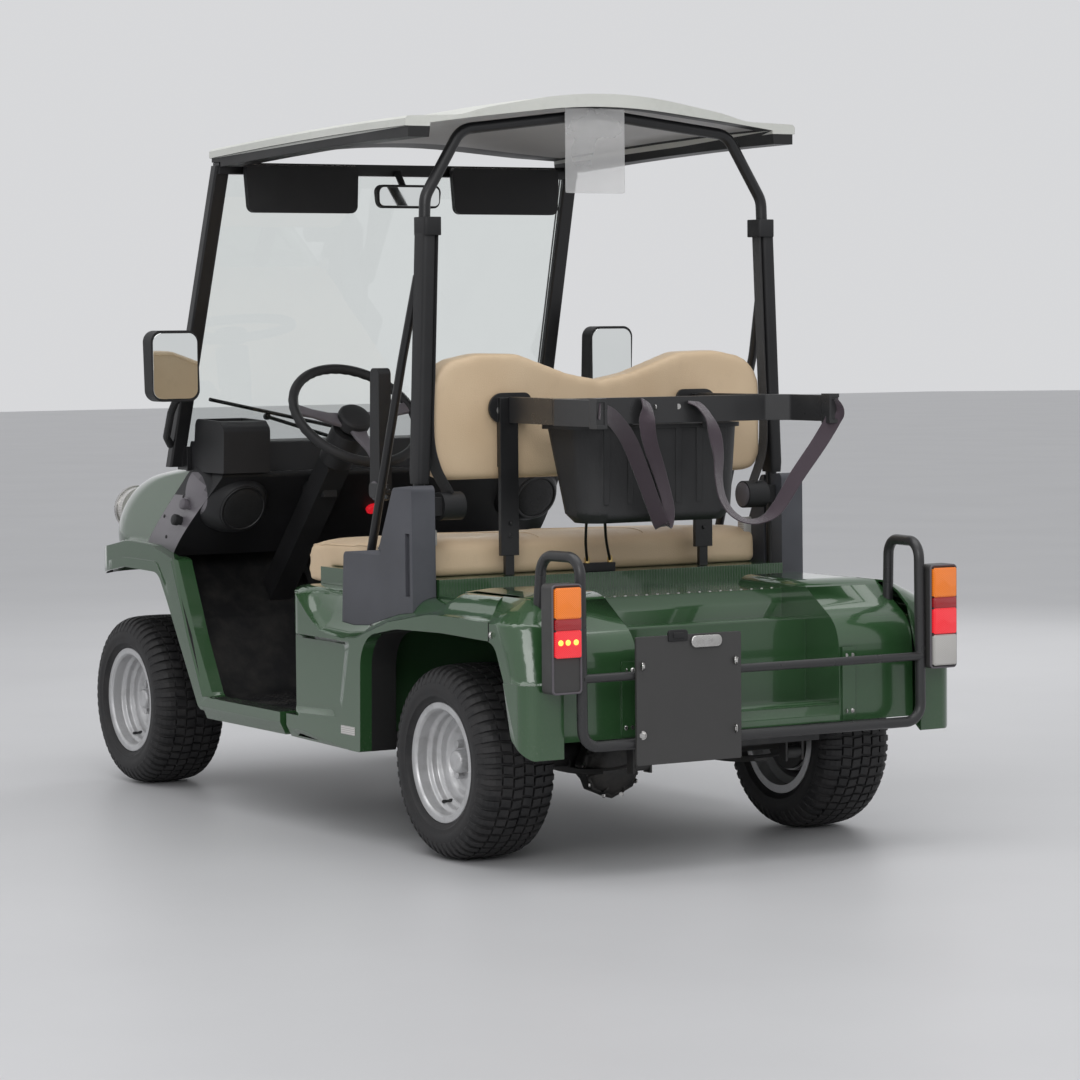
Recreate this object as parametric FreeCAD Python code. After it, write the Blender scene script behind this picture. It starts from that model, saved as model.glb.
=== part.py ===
"""Two-seat electric golf cart: one named STEP file for each sub-part, in millimetres.

Stations are measured from the rear axle: +X forward, +Y to the driver's left, +Z up from the ground.
Pieces at the nose are laid out from the front axle, and side pieces from the body's half width.
Every solid is moved by -ORIGIN_X when it is written, so that the origin lies under the middle of the length.
"""
import FreeCAD, Part
import math
import os

V = FreeCAD.Vector

# Driving sizes
WHEELBASE = 1730.0
FRONT_OVERHANG = 285.0          # front axle to the bumper's face
REAR_OVERHANG = 503.0           # rear axle to the face of the tail lamps
BODY_HALF_WIDTH = 600.0
PANEL_WALL = 5.0                # moulded body panels
FIT_GAP = 0.3                   # between pieces that only seat on each other

FRONT_TIP_X = WHEELBASE + FRONT_OVERHANG
REAR_TIP_X = -REAR_OVERHANG
ORIGIN_X = (FRONT_TIP_X + REAR_TIP_X) / 2

# Widths that follow the body
SHOULDER_Y = BODY_HALF_WIDTH - 100          # inner edge of the side panels
FLOOR_HALF_WIDTH = BODY_HALF_WIDTH - 55
SILL_INNER_Y = BODY_HALF_WIDTH - 52
BASE_HALF_WIDTH = SHOULDER_Y - 3
COVER_INNER_Y = SHOULDER_Y + 1
COVER_OUTER_Y = BODY_HALF_WIDTH - 35
COWL_HALF_WIDTH = BODY_HALF_WIDTH - 64
CUSHION_HALF_WIDTH = SHOULDER_Y - 30
BACK_HALF_WIDTH = SHOULDER_Y - 26
BRACE_Y = SHOULDER_Y + 10
ARMREST_INNER_Y = SHOULDER_Y - 48
ARMREST_OUTER_Y = SHOULDER_Y - 14
ROOF_HALF_WIDTH = BODY_HALF_WIDTH - 40
GUARD_Y = BODY_HALF_WIDTH - 127
LAMP_OUTER_Y = BODY_HALF_WIDTH - 36

# Wheels, 205/50-10 on a 10 inch rim
TYRE_RADIUS = 230.0
TYRE_HALF_WIDTH = 102.5
BEAD_RADIUS = 127.0
RIM_FLANGE_RADIUS = 143.0
RIM_HALF_WIDTH = 90.0           # over the flanges
FLANGE_THICK = 6.0
RIM_WALL = 4.0
CARCASS_WALL = 11.0
DISC_OFFSET = 12.0              # outer face of the rim's disc, outboard of the wheel's middle
HUB_BORE_RADIUS = 32.0
REAR_TRACK_HALF = BODY_HALF_WIDTH - 120
FRONT_TRACK_HALF = BODY_HALF_WIDTH - 115
LUG_CIRCLE_RADIUS = 50.8
LUG_COUNT = 4
LUG_RADIUS = 11.0
REAR_DRUM = 62.0                # depth of the brake drums
FRONT_DRUM = 40.0

# Axles and steering
AXLE_TUBE_RADIUS = 32.0
SPINDLE_RADIUS = 17.0
SPINDLE_ROOM = 0.05             # running fit round a spindle or pin
KINGPIN_Y = FRONT_TRACK_HALF - 85
KINGPIN_RADIUS = 11.0
KNUCKLE_HEIGHT = 86.0
FRONT_BEAM_RADIUS = 26.0
FRONT_BEAM_HALF = KINGPIN_Y - 42.0
STEER_ARM_LENGTH = 75.0         # the arms and the tie rod make a parallelogram
TIE_ROD_RADIUS = 9.0
SPRING_EYE_Z = 236.0
SPRING_HALF = 300.0
FRONT_SPRING_HALF = 165.0

# Chassis
RAIL_Y = 215.0
RAIL_HEIGHT = 74.0
RAIL_WIDTH = 40.0
RAIL_LOW_Z = 182.0              # underside between the axles
RAIL_BOTTOM_Z = TYRE_RADIUS + 38           # underside over the axles
RAIL_TOP_Z = RAIL_BOTTOM_Z + RAIL_HEIGHT
RAIL_LOW_TOP_Z = RAIL_LOW_Z + RAIL_HEIGHT
KICK_REAR_X = 330.0             # where the rails rise over the rear axle
KICK_FRONT_X = WHEELBASE - 480.0
RAIL_FRONT_X = WHEELBASE + 230.0
RAIL_REAR_X = -395.0

# Floor, sill and toe board
FLOOR_TOP_Z = 272.0
FLOOR_THICK = FLOOR_TOP_Z - RAIL_LOW_TOP_Z - FIT_GAP
SILL_LOW_Z = 225.0
SILL_TOP_Z = 283.0
TOE_X = WHEELBASE - 440         # foot of the toe board
TOE_MID = (WHEELBASE - 310, 470.0)
TOE_TOP = (WHEELBASE - 174, 639.0)

# Seat base, deck and well
BASE_FRONT_X = 744.0
BASE_REAR_X = 128.0
BASE_TOP_Z = 649.0
DECK_TOP_Z = 612.0
DECK_REAR_X = -170.0
SHELF_X = -270.0
SHELF_Z = 543.0
WELL_HALF_WIDTH = SHOULDER_Y - 216
WELL_FLOOR_Z = 350.0
TAIL_X = -410.0
TAIL_LOW_Z = 310.0
HOUSING_TOP_Z = 636.0
QUARTER_JOINT_TOP = (-180.0, SHOULDER_Y)        # joint of side panel and rear quarter in plan
QUARTER_JOINT_LOW = (-277.0, BODY_HALF_WIDTH)

# Nose and dash, in the side view
SPLIT_LOW = (WHEELBASE - 90, 640.0)     # joint line between the hood and the dash sides
SPLIT_HIGH = (WHEELBASE - 305, 885.0)
DASH_REAR_LOW = (WHEELBASE - 268, 640.0)
DASH_REAR_HIGH = (WHEELBASE - 498, 860.0)
FORM_LOW_Z = 640.0
FORM_TOP_Z = 869.0

# Seat
BACK_BOTTOM_Z = 881.0
BACK_FRONT_X = 275.0
BACK_REAR_X = 190.0

# Cage and roof
HOOP_TUBE_RADIUS = 14.0
HOOP_X = 201.0
HOOP_FOOT_Y = SHOULDER_Y + 13
PILLAR_TOP_X = WHEELBASE - 526
PILLAR_TOP_Y = BODY_HALF_WIDTH - 67
PILLAR_TOP_Z = 1673.0
PILLAR_SLOPE = -0.306           # change of x for each mm of height
PILLAR_FLARE = 0.037            # change of y for each mm down
PILLAR_BASE_Z = 880.0
PILLAR_WIDTH = 42.0
PILLAR_DEPTH = 34.0
GLASS_THICK = 5.0
ROOF_REAR_X = 158.0
ROOF_FRONT_X = WHEELBASE - 515

# Steering wheel
STEERING_CENTRE = (WHEELBASE - 730, 250.0, 1020.0)
STEERING_RADIUS = 172.0
STEERING_RIM_RADIUS = 13.0
STEERING_TILT = 46.0            # degrees, column above the horizontal
COLUMN_RADIUS = 20.0
TRUNK_HALF = 32.0

# Armrests
ARMREST_PIVOT = (466.0, 850.0)  # x, z
ARMREST_LENGTH = 300.0
BRACE_RADIUS = 11.0
BRACE_LOW = (480.0, 600.0)      # x, z
BRACE_MID = (276.0, 1171.0)

# Bag rack
RACK_Y = 281.0
RACK_X = 175.0
RACK_PIVOT_Z = 1054.0
RACK_LOW_Z = 1018.0
RACK_BAR_HEIGHT = 62.0
RACK_BAR_THICK = 20.0
RACK_BAR_X = -110.0
PRONG_END_X = -330.0
PRONG_Y = 328.0
WEBBING_WIDTH = 38.0
WEBBING_THICK = 2.5

# Rear rail
GUARD_TUBE_RADIUS = 12.5
GUARD_REAR_X = -476.0
GUARD_TOP_Z = 732.0
GUARD_LOW_Z = RAIL_BOTTOM_Z + 37
GUARD_MID_Z = 460.0
PLATE_Y = (56.0, 341.0)
PLATE_Z = (256.0, 548.0)


# Shape helpers
def box(low, high):
    """Box between two corners."""
    return Part.makeBox(high[0] - low[0], high[1] - low[1], high[2] - low[2], V(*low))


def side_box(x_range, y_range, z_range, side):
    """Box whose y range is given for the left side, set on the side given by +1 or -1."""
    y_low, y_high = sorted((side * y_range[0], side * y_range[1]))
    return box((x_range[0], y_low, z_range[0]), (x_range[1], y_high, z_range[1]))


def rod(start, end, radius):
    """Round bar from start to end."""
    start, end = V(*start), V(*end)
    return Part.makeCylinder(radius, (end - start).Length, start, end - start)


def nose(points):
    """Rows whose first entry is measured from the front axle, moved to their place."""
    return [(WHEELBASE + row[0],) + tuple(row[1:]) for row in points]


def bend_radius(before, corner, after, share):
    """Radius of the arc that takes a share of the shorter side beside a corner."""
    a = (before[0] - corner[0], before[1] - corner[1])
    b = (after[0] - corner[0], after[1] - corner[1])
    length_a, length_b = math.hypot(*a), math.hypot(*b)
    angle = math.acos((a[0] * b[0] + a[1] * b[1]) / (length_a * length_b))
    return share * min(length_a, length_b) * math.tan(angle / 2)


def rounded_wire(points, place, closed=True):
    """Polyline of (u, v, radius) corners, each rounded by a tangent arc; place(u, v) gives the point in space."""
    count = len(points)
    corners = [V(p[0], p[1], 0) for p in points]
    radii = [p[2] if len(p) > 2 else 0.0 for p in points]
    starts, ends, mids = [], [], []
    for i in range(count):
        here = corners[i]
        before, after = corners[i - 1], corners[(i + 1) % count]
        sharp = radii[i] <= 0 or (not closed and i in (0, count - 1))
        if sharp:
            starts.append(here)
            ends.append(here)
            mids.append(None)
            continue
        to_before = (before - here).normalize()
        to_after = (after - here).normalize()
        half = to_before.getAngle(to_after) / 2
        reach = radii[i] / math.tan(half)
        starts.append(here + to_before * reach)
        ends.append(here + to_after * reach)
        bisector = (to_before + to_after).normalize()
        mids.append(here + bisector * (radii[i] / math.sin(half) - radii[i]))
    edges = []
    for i in range(count):
        if mids[i] is not None:
            arc = Part.Arc(*[place(p.x, p.y) for p in (starts[i], mids[i], ends[i])])
            edges.append(arc.toShape())
        last = i == count - 1
        if last and not closed:
            break
        a, b = ends[i], starts[(i + 1) % count]
        if (b - a).Length > 1e-6:
            edges.append(Part.makeLine(place(a.x, a.y), place(b.x, b.y)))
    return Part.Wire(edges)


def arc_wire(start, steps, place):
    """Closed outline from a start point: a step of two numbers is a line's end, one of four an arc's middle and end."""
    here = place(*start)
    edges = []
    for step in list(steps) + [start]:
        there = place(step[-2], step[-1])
        if len(step) == 4:
            edges.append(Part.Arc(here, place(step[0], step[1]), there).toShape())
        else:
            edges.append(Part.makeLine(here, there))
        here = there
    return Part.Wire(edges)


def side_plate(points, y_low, y_high):
    """Outline in (x, z) extruded from y_low to y_high."""
    wire = rounded_wire(points, lambda u, v: V(u, y_low, v))
    return Part.Face(wire).extrude(V(0, y_high - y_low, 0))


def cross_plate(points, x_low, x_high):
    """Outline in (y, z) extruded from x_low to x_high."""
    wire = rounded_wire(points, lambda u, v: V(x_low, u, v))
    return Part.Face(wire).extrude(V(x_high - x_low, 0, 0))


def plan_plate(points, z_low, z_high):
    """Outline in (x, y) extruded from z_low to z_high."""
    wire = rounded_wire(points, lambda u, v: V(u, v, z_low))
    return Part.Face(wire).extrude(V(0, 0, z_high - z_low))


def bent_tube(points, radius, bend):
    """Round tube along straight runs joined by tangent arcs of the bend radius."""
    nodes = [V(*p) for p in points]
    edges = []
    start = nodes[0]
    for i in range(1, len(nodes) - 1):
        here = nodes[i]
        to_before = (nodes[i - 1] - here).normalize()
        to_after = (nodes[i + 1] - here).normalize()
        half = to_before.getAngle(to_after) / 2
        reach = bend / math.tan(half)
        a = here + to_before * reach
        c = here + to_after * reach
        bisector = (to_before + to_after).normalize()
        b = here + bisector * (bend / math.sin(half) - bend)
        edges.append(Part.makeLine(start, a))
        edges.append(Part.Arc(a, b, c).toShape())
        start = c
    edges.append(Part.makeLine(start, nodes[-1]))
    spine = Part.Wire(edges)
    ring = Part.Wire(Part.makeCircle(radius, nodes[0], nodes[1] - nodes[0]))
    return spine.makePipeShell([ring], True, False)


def revolve_y(profile, centre_x, centre_z):
    """Solid of revolution about a Y axis; profile is (radius, y) with rounded corners."""
    wire = rounded_wire(profile, lambda r, y: V(centre_x + r, y, centre_z))
    return Part.Face(wire).revolve(V(centre_x, 0, centre_z), V(0, 1, 0), 360)


def mirrored(shape):
    """The same piece on the other side of the cart."""
    return shape.mirror(V(0, 0, 0), V(0, 1, 0))


def pair(shape):
    """A left piece with its right twin, as two solids."""
    return Part.makeCompound([shape, mirrored(shape)])


def fuse(pieces):
    """One solid from touching pieces."""
    return pieces[0].multiFuse(pieces[1:]).removeSplitter()


NODES = {}


def keep(name, shape):
    """Store a node under its name."""
    NODES[name] = shape


# Wheels
def tyre(y_mid, x_mid):
    """Open carcass with bulged side walls and a stepped tread crown, seated on the rim's two bead seats."""
    half = TYRE_HALF_WIDTH
    bead = RIM_HALF_WIDTH - FLANGE_THICK
    foot = RIM_FLANGE_RADIUS + 6
    top = TYRE_RADIUS
    wall = CARCASS_WALL
    outside = [(foot, -bead), (184, -half, top - 13, -half + 12), (top - 3, -half + 28), (top, -half + 46),
               (top, half - 46), (top - 3, half - 28), (top - 13, half - 12), (184, half, foot, bead)]
    inside = [(BEAD_RADIUS, bead), (BEAD_RADIUS, bead - 18), (foot + 2, bead - wall), (top - wall - 14, half - wall - 10),
              (top - wall - 5, half - 46), (top - wall - 5, -half + 46), (top - wall - 14, -half + wall + 10),
              (foot + 2, -bead + wall), (BEAD_RADIUS, -bead + 18)]
    wire = arc_wire((BEAD_RADIUS, -bead), outside + inside, lambda r, y: V(x_mid + r, y_mid + y, TYRE_RADIUS))
    return Part.Face(wire).revolve(V(x_mid, 0, TYRE_RADIUS), V(0, 1, 0), 360)


def rim(y_mid, x_mid, side):
    """Deep-dish pressed rim: flanges, bead seats, stepped drop centre, a disc near the middle and hexagon nuts."""
    half = RIM_HALF_WIDTH
    w = RIM_WALL
    seat = BEAD_RADIUS
    flange = RIM_FLANGE_RADIUS
    barrel = revolve_y([(r, y_mid + side * y, f) for r, y, f in [
        (seat - w, -half, 0), (flange, -half, 0), (flange, -half + 6, 0), (seat, -half + 6, 0), (seat, -half + 30, 0),
        (110, -half + 42, 0), (110, half - 62, 0), (118, half - 56, 0), (118, half - 42, 0), (seat, half - 34, 0),
        (seat, half - 6, 0), (flange, half - 6, 0), (flange, half, 3), (seat - w + 4, half, 4), (seat - w, half - 6, 0),
        (seat - w, half - 32, 6), (118 - w, half - 39, 6), (118 - w, half - 53, 6), (110 - w, half - 60, 0),
        (110 - w, -half + 44, 0), (seat - w, -half + 32, 0),
    ]], x_mid, TYRE_RADIUS)
    face = DISC_OFFSET
    disc = revolve_y([(r, y_mid + side * y, f) for r, y, f in [
        (HUB_BORE_RADIUS, face, 0), (70, face, 0), (76, face + 5, 0), (84, face + 16, 8), (108, face + 16, 0),
        (108, face + 16 - w, 0), (86, face + 16 - w, 0), (78, face - w, 0), (HUB_BORE_RADIUS, face - w, 0),
    ]], x_mid, TYRE_RADIUS)
    nuts = []
    for i in range(LUG_COUNT):
        angle = math.pi / 4 + i * 2 * math.pi / LUG_COUNT
        x = x_mid + LUG_CIRCLE_RADIUS * math.cos(angle)
        z = TYRE_RADIUS + LUG_CIRCLE_RADIUS * math.sin(angle)
        turns = [angle + k * math.pi / 3 for k in range(6)]
        corners = [(x + LUG_RADIUS * math.cos(turn), z + LUG_RADIUS * math.sin(turn)) for turn in turns]
        low, high = sorted((y_mid + side * (face - 1), y_mid + side * (face + 16)))
        nuts.append(side_plate(corners, low, high))
    return fuse([barrel, disc] + nuts)


def hub(y_mid, x_mid, side, drum_depth):
    """Brake drum against the back of the disc, with the hub nose through its bore."""
    back = DISC_OFFSET - RIM_WALL - FIT_GAP
    bore = SPINDLE_RADIUS + SPINDLE_ROOM
    drum = revolve_y([(r, y_mid + side * y) for r, y in [
        (bore, back), (70, back), (88, back - 16), (88, back - drum_depth), (bore, back - drum_depth),
    ]], x_mid, TYRE_RADIUS)
    nose_cap = revolve_y([(r, y_mid + side * y, f) for r, y, f in [
        (0, back + 46, 0), (27, back + 46, 8), (27, back - 2, 0), (0, back - 2, 0),
    ]], x_mid, TYRE_RADIUS)
    spindle_room = rod((x_mid, y_mid + side * (back - drum_depth - 5), TYRE_RADIUS),
                       (x_mid, y_mid + side * (back + 10), TYRE_RADIUS), bore)
    return fuse([drum, nose_cap]).cut(spindle_room)


WHEEL_TABLE = [
    # name, x, half track, side, drum depth
    ("rl", 0.0, REAR_TRACK_HALF, 1, REAR_DRUM),
    ("rr", 0.0, REAR_TRACK_HALF, -1, REAR_DRUM),
    ("fl", WHEELBASE, FRONT_TRACK_HALF, 1, FRONT_DRUM),
    ("fr", WHEELBASE, FRONT_TRACK_HALF, -1, FRONT_DRUM),
]


def make_wheels():
    for name, x, half_track, side, drum in WHEEL_TABLE:
        keep("tyre_" + name, tyre(side * half_track, x))
        keep("rim_" + name, Part.makeCompound([rim(side * half_track, x, side),
                                               hub(side * half_track, x, side, drum)]))


# Running gear
def leaf_spring(x_mid, y_mid, z_seat, half_length, eye_z):
    """Two leaves in a shallow bow, with eyes, a front hanger and a rear shackle up to the rail."""
    leaf = 7.0
    width = 38.0
    cheek = 6.0
    parts = []
    for i, share in enumerate((1.0, 0.6)):
        reach = half_length * share
        rise = (eye_z - z_seat) * share * share
        z = z_seat - i * leaf
        top = [V(x_mid - reach, 0, z + rise), V(x_mid, 0, z), V(x_mid + reach, 0, z + rise)]
        low = [p - V(0, 0, leaf) for p in top]
        edges = [Part.Arc(*top).toShape(), Part.makeLine(top[2], low[2]), Part.Arc(*reversed(low)).toShape(),
                 Part.makeLine(low[0], top[0])]
        face = Part.Face(Part.Wire(edges))
        face.translate(V(0, y_mid - width / 2, 0))
        parts.append(face.extrude(V(0, width, 0)))
    for sign in (-1, 1):
        x = x_mid + sign * (half_length + 8)
        z = eye_z - leaf / 2
        parts.append(rod((x, y_mid - width / 2, z), (x, y_mid + width / 2, z), 15))
        for inner in (-RAIL_WIDTH / 2 - cheek, RAIL_WIDTH / 2):
            parts.append(box((x - 14, y_mid + inner, z - 20), (x + 14, y_mid + inner + cheek, RAIL_BOTTOM_Z + 20)))
        parts.append(rod((x, y_mid - RAIL_WIDTH / 2 - cheek, z), (x, y_mid + RAIL_WIDTH / 2 + cheek, z), 7))
    return fuse(parts)


def make_rear_axle():
    """Live axle with its differential, transfer case and drive motor, on two leaf springs."""
    wheel_side = REAR_TRACK_HALF + DISC_OFFSET - RIM_WALL - FIT_GAP
    tube_end = wheel_side - REAR_DRUM - 3
    z = TYRE_RADIUS
    tube = rod((0, -tube_end, z), (0, tube_end, z), AXLE_TUBE_RADIUS)
    plates = [rod((0, s * (tube_end - 8), z), (0, s * tube_end, z), 84) for s in (-1, 1)]
    spindles = [rod((0, s * (tube_end - 20), z), (0, s * (wheel_side + 2), z), SPINDLE_RADIUS) for s in (-1, 1)]
    diff = revolve_y([(0, 40), (52, 40), (96, 84, 20), (96, 150, 20), (52, 194), (0, 194)], 0, z)
    flange = rod((0, 112, z), (0, 122, z), 104)
    motor = rod((150, -150, z + 30), (150, 100, z + 30), 82)
    gearbox = box((40, 60, z - 40), (150, 100, z + 80))
    seat_z = z - AXLE_TUBE_RADIUS
    saddles = [box((-30, s * RAIL_Y - 19, seat_z), (30, s * RAIL_Y + 19, z)) for s in (-1, 1)]
    axle = fuse([tube, diff, flange] + plates + spindles + [gearbox, motor] + saddles)
    spring = leaf_spring(0.0, RAIL_Y, seat_z, SPRING_HALF, SPRING_EYE_Z)
    keep("rear_axle", Part.makeCompound([axle, spring, mirrored(spring)]))


def make_front_axle():
    """Dead beam with a yoke and a kingpin at each end, on two leaf springs."""
    z = TYRE_RADIUS
    half = KNUCKLE_HEIGHT / 2
    yoke = 14.0
    parts = [rod((WHEELBASE, -FRONT_BEAM_HALF, z), (WHEELBASE, FRONT_BEAM_HALF, z), FRONT_BEAM_RADIUS)]
    x_range = (WHEELBASE - 20, WHEELBASE + 20)
    for s in (-1, 1):
        for level in (half + 1, -half - 1 - yoke):
            parts.append(side_box(x_range, (FRONT_BEAM_HALF - 12, KINGPIN_Y + 18), (z + level, z + level + yoke), s))
        parts.append(side_box(x_range, (FRONT_BEAM_HALF - 16, FRONT_BEAM_HALF - 4),
                              (z - half - 15, z + half + 15), s))
        parts.append(rod((WHEELBASE, s * KINGPIN_Y, z - half - 16), (WHEELBASE, s * KINGPIN_Y, z + half + 16),
                         KINGPIN_RADIUS))
        parts.append(box((WHEELBASE - 25, s * RAIL_Y - 19, z - FRONT_BEAM_RADIUS),
                         (WHEELBASE + 25, s * RAIL_Y + 19, z)))
    spring = leaf_spring(WHEELBASE, RAIL_Y, z - FRONT_BEAM_RADIUS, FRONT_SPRING_HALF, SPRING_EYE_Z)
    keep("front_axle", Part.makeCompound([fuse(parts), spring, mirrored(spring)]))


def knuckle(s):
    """Stub axle: barrel on the kingpin, spindle to the hub and a steering arm to the tie rod."""
    z = TYRE_RADIUS
    y = s * KINGPIN_Y
    half = KNUCKLE_HEIGHT / 2
    barrel = rod((WHEELBASE, y, z - half), (WHEELBASE, y, z + half), 20)
    wheel_side = FRONT_TRACK_HALF + DISC_OFFSET - RIM_WALL - FIT_GAP
    spindle = rod((WHEELBASE, y, z), (WHEELBASE, s * (wheel_side + 2), z), SPINDLE_RADIUS)
    plate = rod((WHEELBASE, s * (wheel_side - FRONT_DRUM - 11), z),
                (WHEELBASE, s * (wheel_side - FRONT_DRUM - 3), z), 60)
    arm_end = WHEELBASE - STEER_ARM_LENGTH - 14
    arm = plan_plate([(WHEELBASE + 8, y - 16), (WHEELBASE + 8, y + 16, 4), (arm_end, y + 14, 10),
                      (arm_end, y - 14, 10)], z - half, z - half + 12)
    body = fuse([barrel, spindle, plate, arm])
    pin_room = rod((WHEELBASE, y, z - half - 5), (WHEELBASE, y, z + half + 5), KINGPIN_RADIUS + SPINDLE_ROOM)
    eye_x = WHEELBASE - STEER_ARM_LENGTH
    eye_room = rod((eye_x, y, z - half - 5), (eye_x, y, z - half + 20), 8.05)
    return body.cut(pin_room).cut(eye_room)


def make_steering():
    """Both knuckles and the tie rod that joins their arms."""
    keep("knuckle_left", knuckle(1))
    keep("knuckle_right", knuckle(-1))
    x = WHEELBASE - STEER_ARM_LENGTH
    z = TYRE_RADIUS - KNUCKLE_HEIGHT / 2
    low = z - 14
    ends = []
    for y, radius in ((KINGPIN_Y, 8.0), (-KINGPIN_Y, 7.5)):
        ends.append(rod((x, y, low - 12), (x, y, z + 14), radius))
        ends.append(rod((x, y, low - 12), (x, y, z - FIT_GAP), 13))
    keep("tie_rod", fuse([rod((x, -KINGPIN_Y, low), (x, KINGPIN_Y, low), TIE_ROD_RADIUS)] + ends))


def make_chassis():
    """Ladder frame: rails kicked up over both axles, cross members and outriggers; battery block in the middle."""
    rise = RAIL_BOTTOM_Z - RAIL_LOW_Z
    outline = [
        (RAIL_REAR_X, RAIL_BOTTOM_Z), (RAIL_REAR_X, RAIL_TOP_Z), (KICK_REAR_X, RAIL_TOP_Z),
        (KICK_REAR_X + rise, RAIL_LOW_TOP_Z), (KICK_FRONT_X - rise, RAIL_LOW_TOP_Z), (KICK_FRONT_X + 40, RAIL_TOP_Z),
        (RAIL_FRONT_X, RAIL_TOP_Z), (RAIL_FRONT_X, RAIL_BOTTOM_Z), (KICK_FRONT_X + 20, RAIL_BOTTOM_Z),
        (KICK_FRONT_X - rise, RAIL_LOW_Z), (KICK_REAR_X + rise - 20, RAIL_LOW_Z), (KICK_REAR_X - 20, RAIL_BOTTOM_Z),
    ]
    parts = [side_plate(outline, s * RAIL_Y - RAIL_WIDTH / 2, s * RAIL_Y + RAIL_WIDTH / 2) for s in (-1, 1)]
    cross_rows = [
        # x, underside z, top z
        (RAIL_REAR_X, RAIL_BOTTOM_Z, RAIL_TOP_Z), (240, RAIL_BOTTOM_Z, RAIL_TOP_Z),
        (BASE_FRONT_X - 60, RAIL_LOW_TOP_Z - 50, RAIL_LOW_TOP_Z),
        (KICK_FRONT_X - 130, RAIL_LOW_TOP_Z - 50, RAIL_LOW_TOP_Z), (RAIL_FRONT_X - 40, RAIL_BOTTOM_Z, RAIL_TOP_Z),
    ]
    for x, low_z, high_z in cross_rows:
        parts.append(box((x, -RAIL_Y, low_z), (x + 40, RAIL_Y, high_z)))
    outriggers = [
        # x, reach in y
        (440, SHOULDER_Y), (700, SHOULDER_Y), (KICK_FRONT_X - 130, FLOOR_HALF_WIDTH),
    ]
    for x, reach in outriggers:
        for s in (-1, 1):
            parts.append(side_box((x, x + 40), (RAIL_Y, reach), (RAIL_LOW_TOP_Z - 40, RAIL_LOW_TOP_Z), s))
    keep("chassis_frame", fuse(parts))
    keep("battery_block", box((440, -RAIL_Y - 60, RAIL_LOW_TOP_Z + FIT_GAP), (715, RAIL_Y + 60, 560)))


# Floor and bodywork
def make_floor():
    """Tray with its mat, folded up at the front into the toe board."""
    top, t = FLOOR_TOP_Z, FLOOR_THICK
    rear = BASE_FRONT_X - 2
    tray = side_plate([(rear, top - t), (rear, top), (TOE_X, top, 60), TOE_MID, TOE_TOP, (TOE_TOP[0] + t, TOE_TOP[1]),
                       (TOE_MID[0] + t, TOE_MID[1] - 2), (TOE_X + t * 0.7, top - t, 60)],
                      -FLOOR_HALF_WIDTH, FLOOR_HALF_WIDTH)
    for s in (-1, 1):
        y = s * RAIL_Y
        tray = tray.cut(box((KICK_FRONT_X - 100, y - RAIL_WIDTH / 2 - 1, RAIL_LOW_Z),
                            (RAIL_FRONT_X, y + RAIL_WIDTH / 2 + 1, RAIL_TOP_Z + 1)))
    keep("floor_pan", tray)


FORM_SECTIONS = [
    # z, front from the front axle, half width less than the body's, corner radius
    (FORM_LOW_Z, 240.0, 35.0, 230.0),
    (725.0, 273.0, 40.0, 250.0),
    (786.0, 260.0, 55.0, 280.0),
    (838.0, 177.0, 70.0, 300.0),
    (FORM_TOP_Z, 0.0, 80.0, 300.0),
]


def front_form(rear_x, inset):
    """Rounded nose volume as a loft of plan sections, inset by a wall."""
    wires = []
    for i, (z, reach, narrower, radius) in enumerate(FORM_SECTIONS):
        last = i == len(FORM_SECTIONS) - 1
        level = z - inset if last else z - (2 if i == 0 and inset else 0)
        half = BODY_HALF_WIDTH - narrower - inset
        front = WHEELBASE + reach - inset
        r = radius - inset
        wires.append(rounded_wire([(rear_x, -half), (front, -half, r), (front, half, r), (rear_x, half)],
                                  lambda u, v, level=level: V(u, v, level)))
    return Part.makeLoft(wires, True, False)


def split_x(z):
    """Joint line between hood and dash at a height."""
    share = (z - SPLIT_LOW[1]) / (SPLIT_HIGH[1] - SPLIT_LOW[1])
    return SPLIT_LOW[0] + share * (SPLIT_HIGH[0] - SPLIT_LOW[0])


SILL_JOINT_X = BASE_FRONT_X + 26        # the front wing's sill meets the side panel's here
WING_CORNER = 230.0                     # plan radius of the nose's corners
WING_LIP = 27.0                         # height of the flared lip round the front arch
SILL_BEVEL = (18.0, 33.0)               # undercut of the sill, in y and in z

# Front wing in the side view: x from the front axle, z, corner radius
WING_TOP = [(-343, 634, 10), (-190, 668, 160), (-40, 672, 300), (160, 640.3, 120), (300, 640.3)]
WING_ARCH = [(300, 568), (182, 568, 40), (-30, 600, 220), (-246, 596, 60), (-300, 524, 200), (-505, SILL_LOW_Z, 16)]
WING_LEG_REAR = [(-533, SILL_TOP_Z, 24), (-441, 437, 300)]


def nose_plan(inset):
    """Plan outline of the wings and the nose between them, inset by a wall."""
    half = BODY_HALF_WIDTH - inset
    front = FRONT_TIP_X - 5 - inset
    radius = WING_CORNER - inset
    return plan_plate([(SILL_JOINT_X + FIT_GAP, -half), (front, -half, radius), (front, half, radius),
                       (SILL_JOINT_X + FIT_GAP, half)], 90, 760)


def sill_undercut(x_rear, x_front, rear_share):
    """Wedge along the left sill's lower edge; rear_share is how much of it is left at the rear end."""
    wires = []
    for x, share in ((x_rear, rear_share), (x_front, 1.0)):
        corners = [(BODY_HALF_WIDTH - SILL_BEVEL[0] * share, SILL_LOW_Z - 5), (BODY_HALF_WIDTH + 2, SILL_LOW_Z - 5),
                   (BODY_HALF_WIDTH + 2, SILL_LOW_Z + SILL_BEVEL[1] * share + 3)]
        points = [V(x, y, z) for y, z in corners]
        wires.append(Part.makePolygon(points + points[:1]))
    return Part.makeLoft(wires, True, True)


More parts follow.
